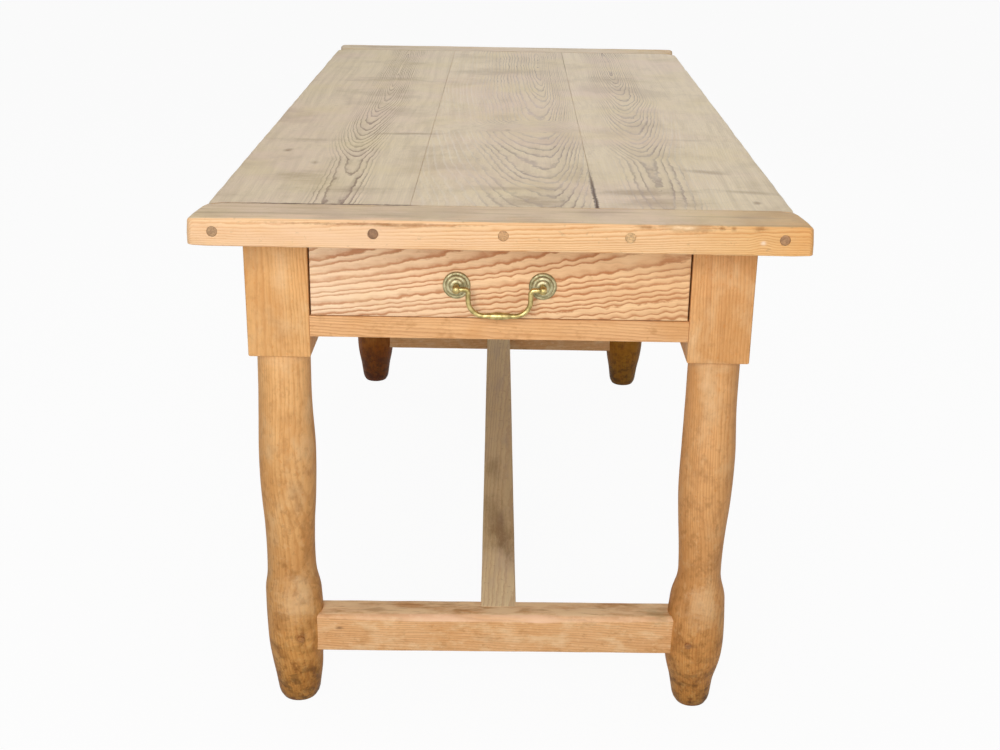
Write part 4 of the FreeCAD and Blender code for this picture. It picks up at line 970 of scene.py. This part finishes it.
def add_beam():
    low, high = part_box("stretcher_long")
    high.z += BEAM_PROUD
    points, faces = evenly_worn(low, high, STRETCHER_ROUND, BOARD_WAVER)
    for point in points:
        point.x += BEAM_ASIDE + BEAM_SKEW * point.y
        point.z += STRETCHER_RISE["front"] / 2 * (high.y - point.y) / (high.y - low.y)
    log = Log("Y", BEAM_HEART, 3.4 * MM, taper=0.012, sway=8 * MM)
    layers = (AGE_SPECKS, clouds(ROSE, 0.05, 0.4, 0.45, 0.7, (0.5, 3.0, 1.0)), shaded("Y", BEAM_SHADES),
              smudges(BEAM_MARKS, BEAM_STAIN, BEAM_MARK_SCALE))
    material = pine("pine_stretcher_long", log, GREY_BEAM, layers=layers)
    mesh = new_mesh("stretcher_long", points, faces)
    add_piece("worn_stretcher_long", mesh, "stretcher_long", material)


# Dowels, pegs and metal
PORE_SCALE = 700.0
PORE_BROWN = linear(80, 56, 40)
CLOUD_SCALE = 160.0
CLOUD_BROWN = linear(96, 68, 48)
END_GRAIN_RELIEF = 0.5 * MM
PATINA_SCALE = 140.0
GRIT_SCALE = 900.0
GRIT_RELIEF = 0.05 * MM
RUST_SCALE = 300.0
RUST_RELIEF = 0.1 * MM
RUST = linear(112, 78, 54)
IRON_GREY = linear(92, 84, 78)
PLUG_TONES = graded((-0.36, 184, 148, 108), (-0.16, 152, 114, 82), (0.0, 202, 156, 108),
                    (0.16, 222, 180, 128), (0.36, 176, 132, 92))
PEG_TONES = graded((-0.3, 184, 124, 58), (0.3, 172, 116, 62))


def end_grain(name, tones):
    """End grain of dowels or pegs, with tones by their place along X, and dark pores."""
    g = Graph(bpy.data.materials.new(name))
    pores = g.noise(g.place, PORE_SCALE, detail=3.0)
    cloud = g.noise(g.place, CLOUD_SCALE, detail=3.0)
    colour = g.ramp_along(g.split(g.place)[0], tones)
    colour = g.blend(g.ease(cloud, 0.4, 0.65, 0.0, 0.35), colour, CLOUD_BROWN)
    colour = g.blend(g.ease(pores, 0.4, 0.7, 0.0, 0.35), colour, PORE_BROWN)
    return g.finish(colour, g.ease(pores, 0.3, 0.7, 0.6, 0.8), g.math("MULTIPLY", cloud, END_GRAIN_RELIEF))


def old_brass(name, bright, dull, rubbed_rough, dull_rough):
    """Old brass, dull and greenish with rubbed spots."""
    g = Graph(bpy.data.materials.new(name))
    patina = g.noise(g.place, PATINA_SCALE, detail=4.0, roughness=0.6)
    grit = g.noise(g.place, GRIT_SCALE, detail=2.0)
    colour = g.blend(g.ease(patina, 0.35, 0.65), bright, dull)
    rough = g.ease(patina, 0.3, 0.7, rubbed_rough, dull_rough)
    return g.finish(colour, rough, g.math("MULTIPLY", grit, GRIT_RELIEF), Metallic=0.9)


def dull_iron():
    """Dull iron of nails, screws and nuts, with a bloom of rust."""
    g = Graph(bpy.data.materials.new("iron"))
    rust = g.noise(g.place, RUST_SCALE, detail=4.0)
    colour = g.blend(g.ease(rust, 0.4, 0.65), IRON_GREY, RUST)
    rough = g.ease(rust, 0.3, 0.7, 0.45, 0.8)
    return g.finish(colour, rough, g.math("MULTIPLY", rust, RUST_RELIEF), Metallic=0.7)


# Materials, and the pieces that replace nodes of the frame
BRIGHT_BRASS, DULL_BRASS = linear(202, 184, 124), linear(152, 136, 84)
GREY_BRASS, DULL_GREY_BRASS = linear(184, 176, 140), linear(142, 134, 98)
RAW_HEART = (0.4, 0.4)
brass = old_brass("aged_brass", BRIGHT_BRASS, DULL_BRASS, 0.32, 0.5)
grey_brass = old_brass("greyed_brass", GREY_BRASS, DULL_GREY_BRASS, 0.45, 0.62)
iron = dull_iron()
plug_wood = end_grain("plug_end_grain", PLUG_TONES)
peg_wood = end_grain("peg_end_grain", PEG_TONES)
raw_wood = pine("pine_raw", Log("Y", RAW_HEART, 4 * MM, taper=0.01), RAW)
for board in BOARDS:
    add_top_board(board)
for end in ENDS:
    add_breadboard(end)
    for side in SIDES:
        add_leg(end, side)

# Materials of the frame's own nodes, by the first word that a name holds
NODE_MATERIALS = (("rosette", grey_brass), ("post", brass), ("bail", brass), ("nuts", iron), ("nails", iron),
                  ("screws", iron), ("dowels", plug_wood), ("pegs", peg_wood), ("", raw_wood))
for name in nodes:
    dress(name, next(material for word, material in NODE_MATERIALS if word in name))

# Drawer fronts, rails, aprons and stretchers
DRAWER_HEART = (0.06, 0.007)
DRAWER_CURL = Curl(height=1.1 * MM, wave=0.021, slant=0.3, wander=2.0, swell=0.2)
DRAWER_SHADES = graded((-0.25, 255, 255, 255), (0.0, 252, 243, 228), (0.25, 247, 232, 208))
DRAWER_AGE = (shaded("X", DRAWER_SHADES), clouds(CREAM, 0.03, 0.35, 0.5, 0.75, (2.0, 1.0, 1.0)),
              specks(TAN, 7 * MM, 0.25, (1.8, 1.8, 1.0)))
RAIL_HEART = (0.62, 0.52)
APRON_HEART = (0.26, 0.6)
for end, along in ENDS.items():
    heart = (along * (DRAWER_FACE - DRAWER_HEART[0]), DRAWER_TOP - DRAWER_HEART[1])
    log = Log("X", heart, 6.2 * MM, taper=0.1, sway=3 * MM, curl=DRAWER_CURL)
    dress(f"drawer_{end}_front", pine(f"pine_drawer_{end}", log, DRAWER_PINE, layers=DRAWER_AGE))
    log = Log("X", (along * RAIL_HEART[0], RAIL_HEART[1]), 3.0 * MM, taper=0.02)
    dress(f"drawer_rail_{end}", pine(f"pine_rail_{end}", log, WORN_HONEY, layers=AGE))
    add_stretcher(end)
for side, across in SIDES.items():
    log = Log("Y", (across * APRON_HEART[0], APRON_HEART[1]), 3.8 * MM, taper=0.03)
    dress(f"apron_{side}", pine(f"pine_apron_{side}", log, HONEY, layers=AGE))
add_beam()

# Camera, floor and light
CAMERA_PLACE = Vector((9.263, -2448.078, 1189.297)) * MM
CAMERA_DOWN = math.radians(20.741)
CAMERA_TURN = math.radians(-0.232)
CAMERA_ROLL = math.radians(0.865)
CAMERA_LENS = 50.059
SENSOR_WIDTH = 36.0


def add_camera():
    data = bpy.data.cameras.new("Camera")
    data.sensor_width = SENSOR_WIDTH
    data.lens = CAMERA_LENS
    camera = bpy.data.objects.new("Camera", data)
    level = Vector((math.sin(CAMERA_TURN), math.cos(CAMERA_TURN), 0.0))
    ahead = level * math.cos(CAMERA_DOWN) - Vector((0, 0, math.sin(CAMERA_DOWN)))
    right = Vector((math.cos(CAMERA_TURN), -math.sin(CAMERA_TURN), 0.0))
    up = right.cross(ahead)
    rolled_right = right * math.cos(CAMERA_ROLL) + up * math.sin(CAMERA_ROLL)
    rolled_up = up * math.cos(CAMERA_ROLL) - right * math.sin(CAMERA_ROLL)
    basis = Matrix((rolled_right, rolled_up, -ahead)).transposed()
    camera.matrix_world = Matrix.Translation(CAMERA_PLACE) @ basis.to_4x4()
    bpy.context.scene.collection.objects.link(camera)
    bpy.context.scene.camera = camera


def add_area(name, place, target, size, power):
    data = bpy.data.lights.new(name, "AREA")
    data.size = size
    data.energy = power
    lamp = bpy.data.objects.new(name, data)
    lamp.location = place
    lamp.rotation_euler = (Vector(target) - Vector(place)).to_track_quat("-Z", "Y").to_euler()
    bpy.context.scene.collection.objects.link(lamp)


FLOOR_REACH = 30.0
FLOOR_GREY = (0.7, 0.7, 0.7, 1.0)
FLOOR_WHITE_SHARE = 0.95
WORLD_COLOUR = (1.0, 1.0, 1.0, 1.0)
WORLD_LIGHT = 0.2
WORLD_WHITE = 0.96
# Lamps: name, place, target, size and power
LAMPS = (("key", (-0.4, -2.7, 1.3), (0.0, -0.7, 0.4), 1.2, 34.0),
         ("fill", (1.5, -2.6, 1.5), (0.0, -0.7, 0.4), 1.2, 8.0),
         ("overhead", (0.0, -0.1, 3.0), (0.0, -0.1, 0.7), 2.4, 36.0),
         ("back", (0.4, 3.0, 1.8), (0.0, 0.7, 0.5), 1.6, 12.0))


def whitened(g, share, dim, white, output):
    """Close a graph so that a ray from the camera, or one mirrored or let through, sees mostly white."""
    rays = g.node("ShaderNodeLightPath", {}).outputs
    seen = rays["Is Camera Ray"]
    for kind in ("Is Glossy Ray", "Is Transmission Ray"):
        seen = g.math("MAXIMUM", seen, rays[kind])
    inputs = {0: g.math("MULTIPLY", seen, share), 1: dim.outputs[0], 2: white.outputs[0]}
    g.node(output, {"Surface": g.node("ShaderNodeMixShader", inputs).outputs[0]})


def add_floor():
    corners = [(x * FLOOR_REACH, y * FLOOR_REACH, 0.0) for x, y in ((-1, -1), (1, -1), (1, 1), (-1, 1))]
    mesh = new_mesh("floor", corners, [(0, 1, 2, 3)])
    floor = bpy.data.objects.new("floor", mesh)
    bpy.context.scene.collection.objects.link(floor)
    g = Graph(bpy.data.materials.new("floor_white"))
    plain = g.node("ShaderNodeBsdfDiffuse", {"Color": FLOOR_GREY})
    whitened(g, FLOOR_WHITE_SHARE, plain, g.node("ShaderNodeEmission", {}), "ShaderNodeOutputMaterial")
    mesh.materials.append(g.owner)


def add_world():
    world = bpy.data.worlds.new("studio")
    bpy.context.scene.world = world
    g = Graph(world)
    lit, seen = (g.node("ShaderNodeBackground", {"Color": WORLD_COLOUR, "Strength": strength})
                 for strength in (WORLD_LIGHT, WORLD_WHITE))
    whitened(g, 1.0, lit, seen, "ShaderNodeOutputWorld")


add_camera()
add_floor()
add_world()
for lamp in LAMPS:
    add_area(*lamp)
bpy.context.scene.view_settings.view_transform = "Standard"
